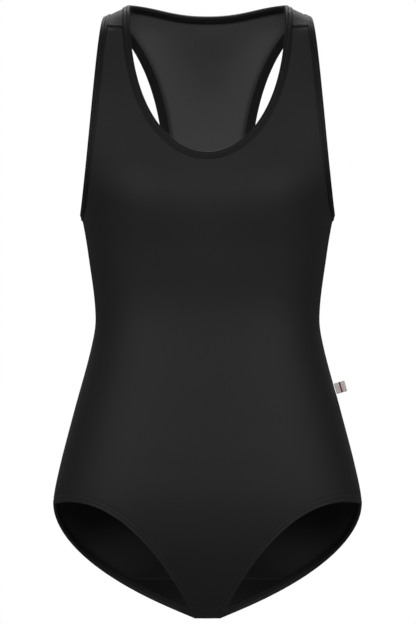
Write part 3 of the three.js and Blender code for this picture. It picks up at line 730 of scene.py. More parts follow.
class Nodes:
    """A small helper that adds and links shader nodes."""

    def __init__(self, tree: bpy.types.NodeTree) -> None:
        """Keep the tree that nodes are added to."""
        self.tree = tree

    def add(
        self, kind: str, inputs: dict[str | int, object] | None = None, **values: object,
    ) -> bpy.types.Node:
        """Add a node.

        Args:
            kind: The node's type.
            inputs: Values or sockets for its inputs.
            values: Its own settings.

        Returns:
            The new node.
        """
        node = self.tree.nodes.new(kind)
        for key, value in values.items():
            setattr(node, key, value)
        for key, value in (inputs or {}).items():
            if isinstance(value, Socket):
                self.tree.links.new(value, node.inputs[key])
            else:
                node.inputs[key].default_value = value
        return node

    def maths(self, operation: str, *values: object) -> Socket:
        """The result of one sum on numbers or sockets."""
        node = self.add("ShaderNodeMath", dict(enumerate(values)), operation=operation)
        return node.outputs[0]


class SharedEffects:
    """Node groups that several finishes use, each built once."""

    def __init__(self) -> None:
        """Build the groups."""
        self.weaves = {
            Weave.KNIT: self.knit_group(),
            Weave.SATIN: self.satin_group(),
            Weave.RIB: self.rib_group(),
        }
        self.mottle = self.mottle_group()

    @staticmethod
    def start(
        name: str, inputs: dict[str, float], outputs: Sequence[str],
    ) -> tuple[bpy.types.NodeTree, Nodes, bpy.types.Node, bpy.types.Node]:
        """Make an empty group with its sockets.

        Args:
            name: The group's name.
            inputs: Input names and their defaults.
            outputs: Output names.

        Returns:
            The group, a helper for it, and its input and output nodes.
        """
        tree = bpy.data.node_groups.new(name, "ShaderNodeTree")
        for key, value in inputs.items():
            socket = tree.interface.new_socket(key, in_out="INPUT", socket_type="NodeSocketFloat")
            socket.default_value = value
        for key in outputs:
            tree.interface.new_socket(key, in_out="OUTPUT", socket_type="NodeSocketFloat")
        nodes = Nodes(tree)
        return tree, nodes, nodes.add("NodeGroupInput"), nodes.add("NodeGroupOutput")

    @staticmethod
    def cells(nodes: Nodes, wide: Socket, tall: Socket) -> tuple[Socket, Socket]:
        """Counts of threads across and along, from the cloth's flat coordinates."""
        uv = nodes.add("ShaderNodeUVMap", uv_map="flat")
        split = nodes.add("ShaderNodeSeparateXYZ", {0: uv.outputs[0]})
        metres = [nodes.maths("MULTIPLY", split.outputs[k], 1000.0) for k in (0, 1)]
        return nodes.maths("DIVIDE", metres[0], wide), nodes.maths("DIVIDE", metres[1], tall)

    def knit_group(self) -> bpy.types.NodeTree:
        """Columns of slanted loops, as on a plain knit."""
        tree, n, i, o = self.start("knit_loops", {"Across": 0.9, "Along": 0.8}, ("Height", "Tone"))
        u, v = self.cells(n, i.outputs["Across"], i.outputs["Along"])
        wale = n.maths("MULTIPLY", n.maths("PINGPONG", u, 0.5), 2.0)
        turn = n.maths("MULTIPLY", n.maths("ADD", v, n.maths("MULTIPLY", wale, 0.6)), math.tau)
        course = n.maths("MULTIPLY_ADD", n.maths("SINE", turn), 0.5, 0.5)
        height = n.maths(
            "ADD", n.maths("MULTIPLY", wale, 0.55), n.maths("MULTIPLY", course, 0.45))
        tree.links.new(height, o.inputs["Height"])
        tree.links.new(n.maths("POWER", height, 1.5), o.inputs["Tone"])
        return tree

    def satin_group(self) -> bpy.types.NodeTree:
        """Long floats that step sideways from thread to thread."""
        tree, n, i, o = self.start(
            "satin_floats", {"Across": 0.25, "Along": 1.2}, ("Height", "Tone"))
        u, v = self.cells(n, i.outputs["Across"], i.outputs["Along"])
        step = n.maths("MULTIPLY", n.maths("FLOOR", u), 0.4)
        along = n.maths("PINGPONG", n.maths("ADD", v, step), 0.5)
        height = n.maths("SUBTRACT", n.maths("PINGPONG", u, 0.5), n.maths("POWER", along, 6.0))
        tree.links.new(height, o.inputs["Height"])
        tree.links.new(n.maths("MULTIPLY_ADD", height, 0.8, 0.5), o.inputs["Tone"])
        return tree

    def rib_group(self) -> bpy.types.NodeTree:
        """Ribs across a woven elastic."""
        tree, n, i, o = self.start(
            "elastic_ribs", {"Across": 0.6, "Along": 1.0}, ("Height", "Tone"))
        u, v = self.cells(n, i.outputs["Across"], i.outputs["Along"])
        rib = n.maths("MULTIPLY", n.maths("PINGPONG", v, 0.5), 2.0)
        fibre = n.maths("MULTIPLY", n.maths("PINGPONG", u, 0.5), 0.5)
        height = n.maths("ADD", rib, fibre)
        tree.links.new(height, o.inputs["Height"])
        tree.links.new(rib, o.inputs["Tone"])
        return tree

    def mottle_group(self) -> bpy.types.NodeTree:
        """Slow shifts of the dye, with a little lint."""
        tree, n, i, o = self.start("dye_mottle", {"Lint": 0.3}, ("Tone",))
        place = n.add("ShaderNodeTexCoord").outputs["Object"]
        slow, lint = (
            n.add("ShaderNodeTexNoise", {"Vector": place, "Scale": scale, "Detail": detail}).outputs[0]
            for scale, detail in ((9.0, 3.0), (900.0, 2.0)))
        mixed = n.add("ShaderNodeMix", {0: i.outputs["Lint"], 2: slow, 3: lint}).outputs[0]
        tree.links.new(mixed, o.inputs["Tone"])
        return tree


@dataclass(frozen=True)
class ClothFinish:
    """The finish of one cloth, thread or ribbon."""

    name: str
    colour: tuple[float, float, float]
    weave: Weave = Weave.KNIT
    roughness: float = 0.62
    sheen: float = 0.2
    specular: float = 0.35
    relief: float = 0.35
    across: float = 0.9
    along: float = 0.8
    variation: float = 0.22
    # rub also sets how deep the painted shade goes where the wear value is below zero.
    rub: float = 0.35
    # Painted shade round the crotch: the colour's factor there (1 for none), the crotch's place, and
    # the reach over which it fades.
    crotch_shade_tone: float = 1.0
    crotch: tuple[float, float, float] = (0.0, 0.008, -0.62)
    crotch_shade_reach: Pair = (0.1, 0.2)
    tone_shares: Pair = (0.35, 0.65)
    rub_lift: float = 1.9
    rough_span: float = 0.12
    bump_depth: float = 0.0002
    sheen_roughness: float = 0.5

    def tint(self, factor: float) -> tuple[float, float, float, float]:
        """The colour, lighter or darker by a factor."""
        return (*(min(c * factor, 1.0) for c in self.colour), 1.0)

    def build(self, effects: SharedEffects) -> bpy.types.Material:
        """Make the material.

        Args:
            effects: The shared node groups.

        Returns:
            The material.
        """
        material = bpy.data.materials.new(self.name)
        material.use_nodes = True
        tree = material.node_tree
        n = Nodes(tree)
        shader = tree.nodes["Principled BSDF"]
        weave = n.add("ShaderNodeGroup", node_tree=effects.weaves[self.weave])
        weave.inputs["Across"].default_value = self.across
        weave.inputs["Along"].default_value = self.along
        mottle = n.add("ShaderNodeGroup", node_tree=effects.mottle)
        wear_and_shade = n.add("ShaderNodeAttribute", attribute_name="wear_and_shade").outputs["Fac"]
        shares = zip((weave, mottle), self.tone_shares)
        tone = n.maths("ADD", *(n.maths("MULTIPLY", g.outputs["Tone"], k) for g, k in shares))
        low, high = self.tint(1 - self.variation), self.tint(1 + self.variation)
        cloth = n.add("ShaderNodeMix", {0: tone, 6: low, 7: high}, data_type="RGBA").outputs[2]
        # Lighter where the wear value is above zero, for edge wear. Darker where it is below zero,
        # which is painted shade.
        rubbed_and_shaded = n.add("ShaderNodeMix", {
            0: n.maths("MULTIPLY", wear_and_shade, self.rub), 6: cloth, 7: self.tint(self.rub_lift),
        }, data_type="RGBA", clamp_factor=False).outputs[2]
        tree.links.new(self.marked(n, self.painted_crotch_shade(n, rubbed_and_shaded)), shader.inputs["Base Color"])
        base = self.roughness - self.rough_span / 2
        rough = n.maths("MULTIPLY_ADD", tone, self.rough_span, base)
        tree.links.new(rough, shader.inputs["Roughness"])
        bump = n.add("ShaderNodeBump", {
            "Strength": self.relief, "Distance": self.bump_depth,
            "Height": weave.outputs["Height"]})
        tree.links.new(bump.outputs[0], shader.inputs["Normal"])
        shader.inputs["Sheen Weight"].default_value = self.sheen
        shader.inputs["Sheen Roughness"].default_value = self.sheen_roughness
        shader.inputs["Specular IOR Level"].default_value = self.specular
        return material

    def painted_crotch_shade(self, nodes: Nodes, cloth: Socket) -> Socket:
        """The cloth's colour, made darker round the crotch as painted shade, for the shade that falls
        inside the leg openings.
        """
        if self.crotch_shade_tone == 1.0:
            return cloth
        place = nodes.add("ShaderNodeTexCoord").outputs["Object"]
        far = nodes.add("ShaderNodeVectorMath", {0: place, 1: self.crotch}, operation="DISTANCE")
        near, away = self.crotch_shade_reach
        factor = nodes.add("ShaderNodeMapRange", {
            "Value": far.outputs["Value"], "From Min": near, "From Max": away,
            "To Min": self.crotch_shade_tone, "To Max": 1.0})
        inputs = {0: cloth, "Scale": factor.outputs[0]}
        return nodes.add("ShaderNodeVectorMath", inputs, operation="SCALE").outputs[0]

    def marked(self, nodes: Nodes, cloth: Socket) -> Socket:
        """The cloth's colour with its woven marks, of which a plain cloth has none."""
        return cloth


@dataclass(frozen=True)
class StripedFinish(ClothFinish):
    """A ribbon with one narrow woven stripe across it."""

    stripe: tuple[float, float, float] = (0.25, 0.01, 0.02)
    stripe_at: float = 0.0058
    stripe_half: float = 0.0009

    def marked(self, nodes: Nodes, cloth: Socket) -> Socket:
        """The ribbon's colour with its stripe."""
        uv = nodes.add("ShaderNodeUVMap", uv_map="flat")
        split = nodes.add("ShaderNodeSeparateXYZ", {0: uv.outputs[0]})
        far = nodes.maths("ABSOLUTE", nodes.maths("SUBTRACT", split.outputs[0], self.stripe_at))
        mask = nodes.maths("LESS_THAN", far, self.stripe_half)
        inputs = {0: mask, 6: cloth, 7: (*self.stripe, 1.0)}
        return nodes.add("ShaderNodeMix", inputs, data_type="RGBA").outputs[2]


FACE = ClothFinish("stretch_knit_face", (0.0125, 0.0125, 0.0129), sheen=0.03, specular=0.22)
# The inside is darkened round the crotch as painted shade, for the shade inside the leg openings.
INSIDE = ClothFinish(
    "stretch_knit_inside", (0.060, 0.060, 0.062), roughness=0.85, sheen=0.05, specular=0.2,
    relief=0.5, crotch_shade_tone=0.08)
BAND = ClothFinish(
    "edge_band_knit", (0.0042, 0.0042, 0.0045), roughness=0.6, sheen=0.01, specular=0.2, rub=0.15)
THREAD = ClothFinish(
    "topstitch_thread", (0.009, 0.009, 0.0095), Weave.RIB, roughness=0.5, relief=0.2,
    across=0.2, along=0.3)
ELASTIC = ClothFinish(
    "woven_elastic", (0.03, 0.03, 0.032), Weave.RIB, roughness=0.75, relief=0.8,
    across=0.5, along=1.0)
OVERLOCK = ClothFinish(
    "overlocked_edge", (0.012, 0.012, 0.013), roughness=0.85, relief=0.9, across=0.7, along=0.7)
TAPE = ClothFinish(
    "stay_tape", (0.028, 0.028, 0.03), Weave.RIB, roughness=0.7, relief=0.6, across=0.5, along=0.6)
LINING = ClothFinish(
    "brushed_lining", (0.004, 0.004, 0.0042), roughness=0.9, sheen=0.04, specular=0.15, relief=0.4,
    across=0.7, along=0.6, rub=0.0)
LABEL = ClothFinish(
    "satin_label", (0.74, 0.74, 0.71), Weave.SATIN, roughness=0.45, sheen=0.1, relief=0.5,
    across=0.25, along=1.4, variation=0.05, rub=0.0)
RIBBON = StripedFinish(
    "woven_tag_ribbon", (0.70, 0.67, 0.65), Weave.SATIN, roughness=0.5, sheen=0.1, relief=0.6,
    across=0.3, along=1.2, variation=0.06, rub=0.0)


class Wardrobe:
    """Every finish of the garment, made once and handed out by name."""

    def __init__(self) -> None:
        """Build the shared groups."""
        self.effects = SharedEffects()
        self.made: dict[str, bpy.types.Material] = {}

    def dress(self, piece: Piece, *finishes: ClothFinish) -> None:
        """Give a piece its finishes, in slot order.

        Args:
            piece: The piece.
            finishes: One finish for each of its slots.
        """
        for finish in finishes:
            if finish.name not in self.made:
                self.made[finish.name] = finish.build(self.effects)
            piece.data.materials.append(self.made[finish.name])


# ---- Sub-assemblies --------------------------------------------------------------------------


@dataclass
class Maker:
    """What every sub-assembly is made with."""

    form: BodyForm
    pattern: Pattern
    wardrobe: Wardrobe
    rub_width: float = 0.07

    @staticmethod
    def settle(
        piece: Piece, nodes: Sequence[str], slot: str, body: str = "garment",
    ) -> Piece:
        """Tie a finished piece to the frame.

        Args:
            piece: The piece.
            nodes: The CAD nodes it stands for.
            slot: The record's material slot; not used.
            body: The CAD body it moves with.

        Returns:
            The same piece.
        """
        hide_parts(*nodes)
        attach(piece, body)
        LOG.info("%s stands for %s", piece.name, ", ".join(nodes))
        return piece

    def strip(
        self, name: str, line: EdgeLine, section: Section, wear_at: float | None = None,
    ) -> Piece:
        """Lay a strip of cloth along an edge.

        Args:
            name: The piece's name.
            line: The edge.
            section: Pairs of distance in from the edge and height above the form.
            wear_at: The distance round the section, as a share, where the cloth is rubbed.

        Returns:
            The piece, without thickness.
        """
        rails = [line.rail(d, r) for d, r in section]
        points = np.stack(rails, axis=1)
        if line.closed:
            points = np.concatenate([points, points[:1]])
        across = run_of(np.array(section, float))
        along = run_of(points[:, 0])
        uv = np.stack(np.meshgrid(across, along), axis=-1) * MM
        share = np.zeros(len(section))
        if wear_at is not None:
            share = bell(across / across[-1] - wear_at, self.rub_width)
        wear_and_shade = np.broadcast_to(share, uv.shape[:2])
        middle = len(points) // 2 % len(line.a)
        a, v = line.inset(section[0][0])
        outward = self.form.normal(a[middle], v[middle])
        return smooth_object(name, lay_grid(points, uv, wear_and_shade, line.closed, outward))


@dataclass
class ClothPanels(Maker):
    """The front and the back of the body."""

    leg_inset: float = 1.0
    columns: int = 44
    edge_columns: int = 12
    edge_step: float = 0.95
    seam_dip: float = 0.7
    shoulder_lap: float = 0.3
    shoulder_tuck: tuple[float, float] = (0.9, 7.0)
    # Depth and reach of the painted shade below the front's shoulder seam.
    seam_shade: tuple[float, float] = (1.7, 6.5)
    stitch_dip: float = 0.3
    stitch_width: float = 0.55
    seam_width: float = 0.9
    lap_width: float = 3.0
    edge_rub: float = 0.8
    leg_pull: float = 0.07
    arm_pull: float = 0.05
    front_flat: tuple[float, float] = (0.38, 0.63)
    front_area: float = 0.136
    back_flat: tuple[float, float] = (0.38, 0.70)
    back_area: float = 0.144

    def columns_of(self, length: float) -> Array:
        """Where a row's points lie, closest together by its outer edge.

        Args:
            length: The row's length in millimetres.

        Returns:
            Shares of the length, from 0 to 1.
        """
        edge = min(self.edge_columns * self.edge_step, length * 0.35)
        ends = 1 - np.linspace(edge, 0, self.edge_columns + 1) / length
        inner = np.linspace(0, ends[0], self.columns - self.edge_columns)[:-1]
        return np.concatenate([inner, ends])

    def half(self, is_back: bool) -> tuple[Array, Array, Array]:
        """Points, flat places, and edge wear with painted shade, of half a panel."""
        form = self.form
        ia, iv, oa, ov = self.pattern.rows(is_back, self.leg_inset)
        length = np.linalg.norm(form.point(ia, iv) - form.point(oa, ov), axis=-1)
        t = np.stack([self.columns_of(max(k, 1.0)) for k in length])
        a = lerp(ia[:, None], oa[:, None], t)
        v = lerp(iv[:, None], ov[:, None], t ** self.pattern.row_bend)
        base = form.point(a, v)
        leg = self.nearest(base, form.point(self.pattern.leg.a, self.pattern.leg.v))
        arm = self.nearest(base, form.point(self.pattern.arm.a, self.pattern.arm.v))
        side = np.abs(a - SIDE) * form.half_width(form.height(v))
        rise = -self.stitch_dip * bumps(leg, HEM_ROWS, self.stitch_width)
        seam = self.seam_dip * np.exp(-side / self.seam_width)
        rise = rise - seam + self.drag(base, leg, arm)
        strap = self.nearest(base, base[-1])
        if is_back:
            rise = rise + self.shoulder_lap * np.exp(-((strap / self.lap_width) ** 2))
        else:
            ease = np.clip(1 - strap / self.shoulder_tuck[1], 0, 1)
            rise = rise - self.shoulder_tuck[0] * ease * ease
        points = base + form.normal(a, v) * rise[..., None]
        on_centre = (ia == 0) | (ia == math.pi)
        points[on_centre, 0, 0] = 0
        height = run_of(form.point(ia, iv))
        uv = np.stack([t * length[:, None], np.broadcast_to(height[:, None], t.shape)], axis=-1)
        rub = bell(leg - self.leg_inset, self.edge_rub) + 0.5 * bell(side, self.edge_rub)
        wear_and_shade = np.clip(rub, 0, 1)
        # Painted shade: the front cloth is made darker in a band just below the shoulder seam, by
        # taking its wear value below zero.
        if not is_back:
            depth, reach = self.seam_shade
            wear_and_shade = wear_and_shade - depth * np.exp(-((strap / reach) ** 2))
        return points, uv * MM, wear_and_shade

    def drag(self, base: Array, leg: Array, arm: Array) -> Array:
        """Small pulls in the cloth beside the gathered edges.

        Args:
            base: Points of the form.
            leg: Distances from the leg's edge.
            arm: Distances from the armhole's edge.

        Returns:
            Heights above the form.
        """
        x, y, z = (base[..., k] for k in range(3))
        by_leg = bell(leg, 16) * np.sin((x * 0.9 + y + z * 0.3) / 5.3)
        by_arm = bell(arm - 14, 13) * np.sin((z * 1.1 + y * 0.4) / 6.1)
        return self.leg_pull * by_leg + self.arm_pull * by_arm

    @staticmethod
    def nearest(points: Array, line: Array) -> Array:
        """Each point's distance from a line of points."""
        table = points.reshape(-1, 3)
        best = np.full(len(table), np.inf)
        batch = 2000
        for start in range(0, len(table), batch):
            gap = table[start:start + batch, None] - line[None]
            best[start:start + batch] = np.sqrt((gap ** 2).sum(-1).min(1))
        return best.reshape(points.shape[:-1])

    def panel(self, name: str, is_back: bool) -> Piece:
        """Both halves of a panel, as one cloth."""
        points, uv, wear_and_shade = self.half(is_back)
        outward = np.array([0.0, 1.0 if is_back else -1.0, 0.0])
        bm = lay_grid(points, uv, wear_and_shade, False, outward)
        whole = bm.verts[:] + bm.edges[:] + bm.faces[:]
        bmesh.ops.mirror(bm, geom=whole, axis="X", merge_dist=2e-5)
        bmesh.ops.recalc_face_normals(bm, faces=bm.faces)
        middle = Vector((0, 0, -0.3))
        face = min(bm.faces, key=lambda f: (f.calc_center_median() - middle).xz.length)
        if face.normal.dot(Vector(outward)) < 0:
            bmesh.ops.reverse_faces(bm, faces=bm.faces)
        return smooth_object(name, bm)

    def make(self) -> dict[str, Piece]:
        """Make, dress and tie both panels."""
        made = {}
        for key, is_back in (("front", False), ("back", True)):
            piece = self.panel(f"{key}_cloth", is_back)
            thicken(piece, self.form.cut.cloth, has_inside=True)
            self.wardrobe.dress(piece, FACE, INSIDE)
            made[key] = self.settle(piece, [f"{key}_panel"], "knit")
        return made


@dataclass
class EdgeBands(Maker):
    """Folded bands round the neck and armholes, their elastic and their stitches."""

    width: float = 8.0
    cloth: float = 0.5
    stitch_at: float = 3.8
    neck_inner: float = 7.0
    arm_inner: float = 9.0
    inner_low: float = -4.1
    elastic_top: float = -1.65
    elastic: tuple[float, float, float] = (1.9, 6.5, 0.8)
    stitch_rise: float = 0.72
    fold_share: float = 0.47
    flat_width: float = 0.0205
    cut_share: float = 0.93

    def section(self, inner: float) -> Section:
        """The band's face, from its outer edge over the fold to its inner edge.

        Args:
            inner: How wide the band is on the inside.

        Returns:
            Pairs of distance in from the edge and height above the form.
        """
        s = self.stitch_at
        return (
            (self.width, 0.12), (self.width - 0.12, 0.5), (self.width - 0.5, 0.78),
            (self.width - 1.3, 0.95), (s + 1.6, 1.0), (s + 0.9, 0.93), (s + 0.35, 0.7), (s, 0.62),
            (s - 0.35, 0.7), (s - 0.9, 0.95), (s - 1.6, 1.05), (s - 2.4, 1.02), (0.75, 0.8),
            (0.25, 0.3), (0.0, -0.6), (0.0, -2.2), (0.25, -3.2), (0.8, -3.8),
            (1.6, self.inner_low), (3.2, self.inner_low), (5.0, self.inner_low),
            (inner - 0.5, self.inner_low), (inner, self.inner_low + 0.15),
        )

    def make(self) -> dict[str, Piece]:
        """Make, dress and tie the bands of the neck and of both armholes."""
        arm = self.pattern.arm
        lines = {
            "neck": ("neck_binding", self.pattern.neck, self.neck_inner),
            "armhole_left": ("armhole_binding_left", arm, self.arm_inner),
            "armhole_right": ("armhole_binding_right", arm.mirrored(), self.arm_inner),
        }
        made = {}
        for key, (node, line, inner) in lines.items():
            band = self.strip(f"{key}_band", line, self.section(inner), self.fold_share)
            thicken(band, self.cloth)
            self.wardrobe.dress(band, BAND)
            self.settle(band, [node], "binding")
            elastic = self.core(f"{key}_elastic_strip", line)
            self.settle(elastic, [node.replace("binding", "elastic")], "elastic")
            stitches = Stitches(self.form, self.pattern, self.wardrobe).along(
                f"{key}_stitches", line, self.stitch_at, self.stitch_rise)
            self.settle(stitches, [node.replace("binding", "stitching")], "thread")
            length = run_of(line.rail(2, 0))[-1] * MM
            made[key] = band
        return made

    def core(self, name: str, line: EdgeLine) -> Piece:
        """A flat elastic with rounded edges that lies in a fold."""
        near, far, thick = self.elastic
        top, low = self.elastic_top, self.elastic_top - thick
        section = (
            (near + 0.2, top), (lerp(near, far, 0.33), top), (lerp(near, far, 0.66), top),
            (far - 0.2, top), (far, top - 0.25), (far, low + 0.25), (far - 0.2, low),
            (lerp(near, far, 0.5), low), (near + 0.2, low), (near, low + 0.25), (near, top - 0.25),
            (near + 0.2, top),
        )
        piece = self.strip(name, line, section)
        bm = welded(piece)
        bmesh.ops.recalc_face_normals(bm, faces=bm.faces)
        bm.to_mesh(piece.data)
        bm.free()
        self.wardrobe.dress(piece, ELASTIC)
        return piece


@dataclass
class Stitches(Maker):
    """Rows of separate stitches."""

    pitch: float = 3.0
    length: float = 2.55
    thick: float = 0.46
    slant: float = math.radians(5)
    look_ahead: float = 0.6

    def along(self, name: str, line: EdgeLine, distance: float, rise: float) -> Piece:
        """Set a row of stitches along an edge.

        Args:
            name: The piece's name.
            line: The edge.
            distance: How far in from the edge.
            rise: The height of the thread's middle above the form.

        Returns:
            The dressed row.
        """
        a, v = line.inset(distance)
        return self.row(name, self.form.layer(a, v, rise), self.form.normal(a, v), line.closed)

    def row(self, name: str, points: Array, normals: Array, closed: bool) -> Piece:
        """Set a row of stitches through points.

        Args:
            name: The piece's name.
            points: The points, in millimetres.
            normals: The outward direction at each point.
            closed: Whether the row comes back to its start.

        Returns:
            The dressed row.
        """
        if closed:
            points, normals = (np.concatenate([x, x[:1]]) for x in (points, normals))
        run = run_of(points)
        count = max(int(run[-1] / self.pitch), 1)
        wanted = (np.arange(count) + 0.5) * run[-1] / count
        pick = lambda table, at: np.stack(
            [np.interp(at, run, table[:, k]) for k in range(3)], axis=-1)
        centre, ahead = pick(points, wanted), pick(points, wanted + self.look_ahead)
        out = pick(normals, wanted)
        bm = bmesh.new()
        flat = bm.loops.layers.uv.new("flat")
        for k in range(count):
            z = Vector(ahead[k] - centre[k])
            if z.length < 1e-6:
                continue
            z.normalize()
            y = Vector(out[k])
            x = y.cross(z).normalized()
            y = z.cross(x)
            tip = Matrix((x, y, z)).transposed() @ Matrix.Rotation(self.slant, 3, "Y")
            size = Matrix.Diagonal((self.thick, self.thick, self.length)).to_3x3()
            place = Matrix.Translation(Vector(centre[k]) * MM) @ (tip @ size * MM).to_4x4()
            bmesh.ops.create_uvsphere(bm, u_segments=6, v_segments=5, radius=0.5, matrix=place)
        for face in bm.faces:
            for loop in face.loops:
                loop[flat].uv = (loop.vert.co.x + loop.vert.co.y, loop.vert.co.z)
        piece = smooth_object(name, bm)
        self.wardrobe.dress(piece, THREAD)
        return piece


@dataclass
class LegEdges(EdgeBands):
    """Turned hems round the legs, their elastic and two rows of stitches."""

    cloth: float = 0.75
    stitch_rise: float = -0.08
    fold_share: float = 0.08
    row_pitch: float = 2.7
    row_length: float = 2.3

    def section(self, inner: float) -> Section:
        """The hem's face, from the fold's outer side to its raw edge, inner in from the edge."""
        return (
            (1.5, 0.0), (1.1, 0.02), (0.7, -0.06), (0.35, -0.3), (0.1, -0.75), (0.0, -1.4),
            (0.05, -2.3), (0.3, -3.2), (0.8, -3.8), (1.6, self.inner_low), (3.4, self.inner_low),
            (5.4, self.inner_low), (inner, self.inner_low),
        )

    def make(self) -> dict[str, Piece]:
        """Make, dress and tie the hems of both legs."""
        made = {}
        for side, line in (("left", self.pattern.leg), ("right", self.pattern.leg.mirrored())):
            section = self.section(self.width)
            hem = self.strip(f"leg_fold_{side}", line, section, self.fold_share)
            thicken(hem, self.cloth)
            self.wardrobe.dress(hem, FACE)
            made[f"fold_{side}"] = self.settle(hem, [f"leg_hem_{side}"], "knit")
            elastic = self.core(f"leg_elastic_strip_{side}", line)
            self.settle(elastic, [f"leg_elastic_{side}"], "elastic")
            for i, distance in enumerate(HEM_ROWS, 1):
                rows = Stitches(self.form, self.pattern, self.wardrobe,
                                pitch=self.row_pitch, length=self.row_length)
                row = rows.along(f"leg_stitches_{i}_{side}", line, distance, self.stitch_rise)
                made[f"row_{i}_{side}"] = self.settle(row, [f"leg_stitching_{i}_{side}"], "thread")
        return made


@dataclass
class InnerSeams(Maker):
    """Overlocked seams, shoulder tapes and the gusset's lining."""

    top: float = -1.6
    allowance: float = 6.5
    fold_back: float = 1.5
    overlock: float = 1.0
    layer_gap: float = 0.8
    loop_at: float = 0.55
    loop_pitch: float = 1.9
    loop_thick: float = 0.4
    tape_thick: float = 0.4
    lining_thick: float = 0.5
    side_points: int = 120
    strap_points: int = 9
    gusset_columns: int = 41
    gusset_share: tuple[int, int] = (5, 12)
    gusset_flat: Pair = (0.15, 0.14)
    gusset_area: float = 0.0125

    def strap_line(self) -> EdgeLine:
        """A line along the shoulder seam, clear of both bands."""
        form = self.form
        neck, arm = self.pattern.neck_half, self.pattern.arm
        i = self.pattern.neck_steps
        j = self.pattern.front_centre_steps + i
        ends = np.array([[neck.a[i], neck.v[i]], [arm.a[j], arm.v[j]]])
        p = form.point(ends[:, 0], ends[:, 1])
        margin = (form.cut.binding_width + 1) / np.linalg.norm(p[1] - p[0])
        t = np.linspace(margin, 1 - margin, self.strap_points)
        a, v = lerp(ends[0, 0], ends[1, 0], t), lerp(ends[0, 1], ends[1, 1], t)
        across = (p[1] - p[0]) / np.linalg.norm(p[1] - p[0])
        inward = np.cross(form.normal(a, v), across)
        inward /= np.linalg.norm(inward, axis=-1, keepdims=True)
        return EdgeLine(form, a, v, inward, False)

    def side_line(self) -> EdgeLine:
        """A line up the side seam, between the hem and the armhole's band."""
        form, cut = self.form, self.form.cut
        low = float(form.level(cut.leg_side_z)) + cut.hem_width + 0.6
        high = float(form.level(cut.underarm_z)) - cut.binding_width - 0.4
        n = self.side_points
        inward = np.tile([0.0, 1.0, 0.0], (n, 1))
        return EdgeLine(form, np.full(n, SIDE), np.linspace(low, high, n), inward, False)

    def allowance_strip(self, name: str, line: EdgeLine, wide: float, node: str) -> None:
        """One overlocked allowance with its loops of thread.

        Args:
            name: The piece's name.
            line: The seam.
            wide: How far it reaches past the seam.
            node: The CAD node it stands for.
        """
        t, b, f = self.top, self.overlock, self.fold_back
        section = (
            (-f, t), (wide * 0.3, t), (wide, t), (wide + 0.12, t - b * 0.4),
            (wide, t - b * 0.85), (wide * 0.6, t - b * 0.7), (wide * 0.2, t - b * 0.75),
            (-f, t - b * 0.6), (-f, t),
        )
        piece = self.strip(name, line, section)
        bm = welded(piece)
        ends = [e for e in bm.edges if e.is_boundary]
        bmesh.ops.holes_fill(bm, edges=ends, sides=0)
        bmesh.ops.recalc_face_normals(bm, faces=bm.faces)
        flat = bm.loops.layers.uv["flat"]
        points = line.rail(wide * self.loop_at, t - b * 0.8)
        normals = -self.form.normal(*line.inset(wide * self.loop_at))
        run = run_of(points)
        count = max(int(run[-1] / self.loop_pitch), 2)
        at_run = lambda at, table: Vector([np.interp(at, run, table[:, k]) for k in range(3)])
        for at in np.linspace(0.6, run[-1] - 0.6, count):
            centre = at_run(at, points)
            ahead = at_run(at + 0.5, points) - centre
            out = at_run(at, normals).normalized()
            if ahead.length < 1e-6:
                continue
            side = out.cross(ahead.normalized()).normalized()
            z = (side * 0.93 + ahead.normalized() * 0.36).normalized()
            x = out.cross(z).normalized()
            turn = Matrix((x, z.cross(x), z)).transposed()
            size = Matrix.Diagonal((self.loop_thick, self.loop_thick, wide * 0.9)).to_3x3()
            place = Matrix.Translation(centre * MM) @ (turn @ size * MM).to_4x4()
            bmesh.ops.create_uvsphere(bm, u_segments=5, v_segments=5, radius=0.5, matrix=place)
        for face in bm.faces:
            for loop in face.loops:
                if loop[flat].uv.length == 0:
                    loop[flat].uv = (loop.vert.co.x, loop.vert.co.z)
        bm.to_mesh(piece.data)
        bm.free()
        self.wardrobe.dress(piece, OVERLOCK)
        self.settle(piece, [node], "overlock")

    def make(self) -> None:
        """Make, dress and tie every inner seam."""
        left = (self.side_line(), self.strap_line())
        wide = self.allowance - self.fold_back
        top = self.top - self.overlock - self.layer_gap
        stay = ((-3, top - 0.05), (-2.8, top), (-1, top), (1, top), (2.8, top), (3, top - 0.05))
        for key, lines in (("left", left), ("right", [line.mirrored() for line in left])):
            at_side, at_strap = lines
            self.allowance_strip(f"side_overlock_{key}", at_side, wide, f"side_seam_{key}")
            self.allowance_strip(
                f"shoulder_overlock_{key}", at_strap, wide - 1, f"shoulder_seam_{key}")
            tape = self.strip(f"shoulder_stay_{key}", at_strap, stay)
            thicken(tape, self.tape_thick)
            self.wardrobe.dress(tape, TAPE)
            self.settle(tape, [f"shoulder_tape_{key}"], "tape")
        self.crotch()
        self.gusset()

    def crotch(self) -> None:
        """The short overlocked seam under the body."""
        low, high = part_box("crotch_seam")
        bm = bmesh.new()
        bmesh.ops.create_grid(bm, x_segments=12, y_segments=6, size=0.5)
        flat = bm.loops.layers.uv.new("flat")
        size = high - low
        for face in bm.faces:
            for loop in face.loops:
                loop[flat].uv = (loop.vert.co.x * size.x, loop.vert.co.y * size.y)
        for vert in bm.verts:
            crown = math.cos(vert.co.y * math.pi) * 0.5
            vert.co = Vector((
                low.x + size.x * (vert.co.x + 0.5), low.y + size.y * (vert.co.y + 0.5),
                low.z + size.z * (0.45 + crown)))
        rim = [e for e in bm.edges if e.is_boundary]
        wall = bmesh.ops.extrude_edge_only(bm, edges=rim)
        for vert in (g for g in wall["geom"] if isinstance(g, bmesh.types.BMVert)):
            vert.co.z = low.z
        bmesh.ops.contextual_create(bm, geom=[e for e in bm.edges if e.is_boundary])
        bmesh.ops.recalc_face_normals(bm, faces=bm.faces)
        piece = smooth_object("crotch_overlock", bm)
        self.wardrobe.dress(piece, OVERLOCK)
        self.settle(piece, ["crotch_seam"], "overlock")

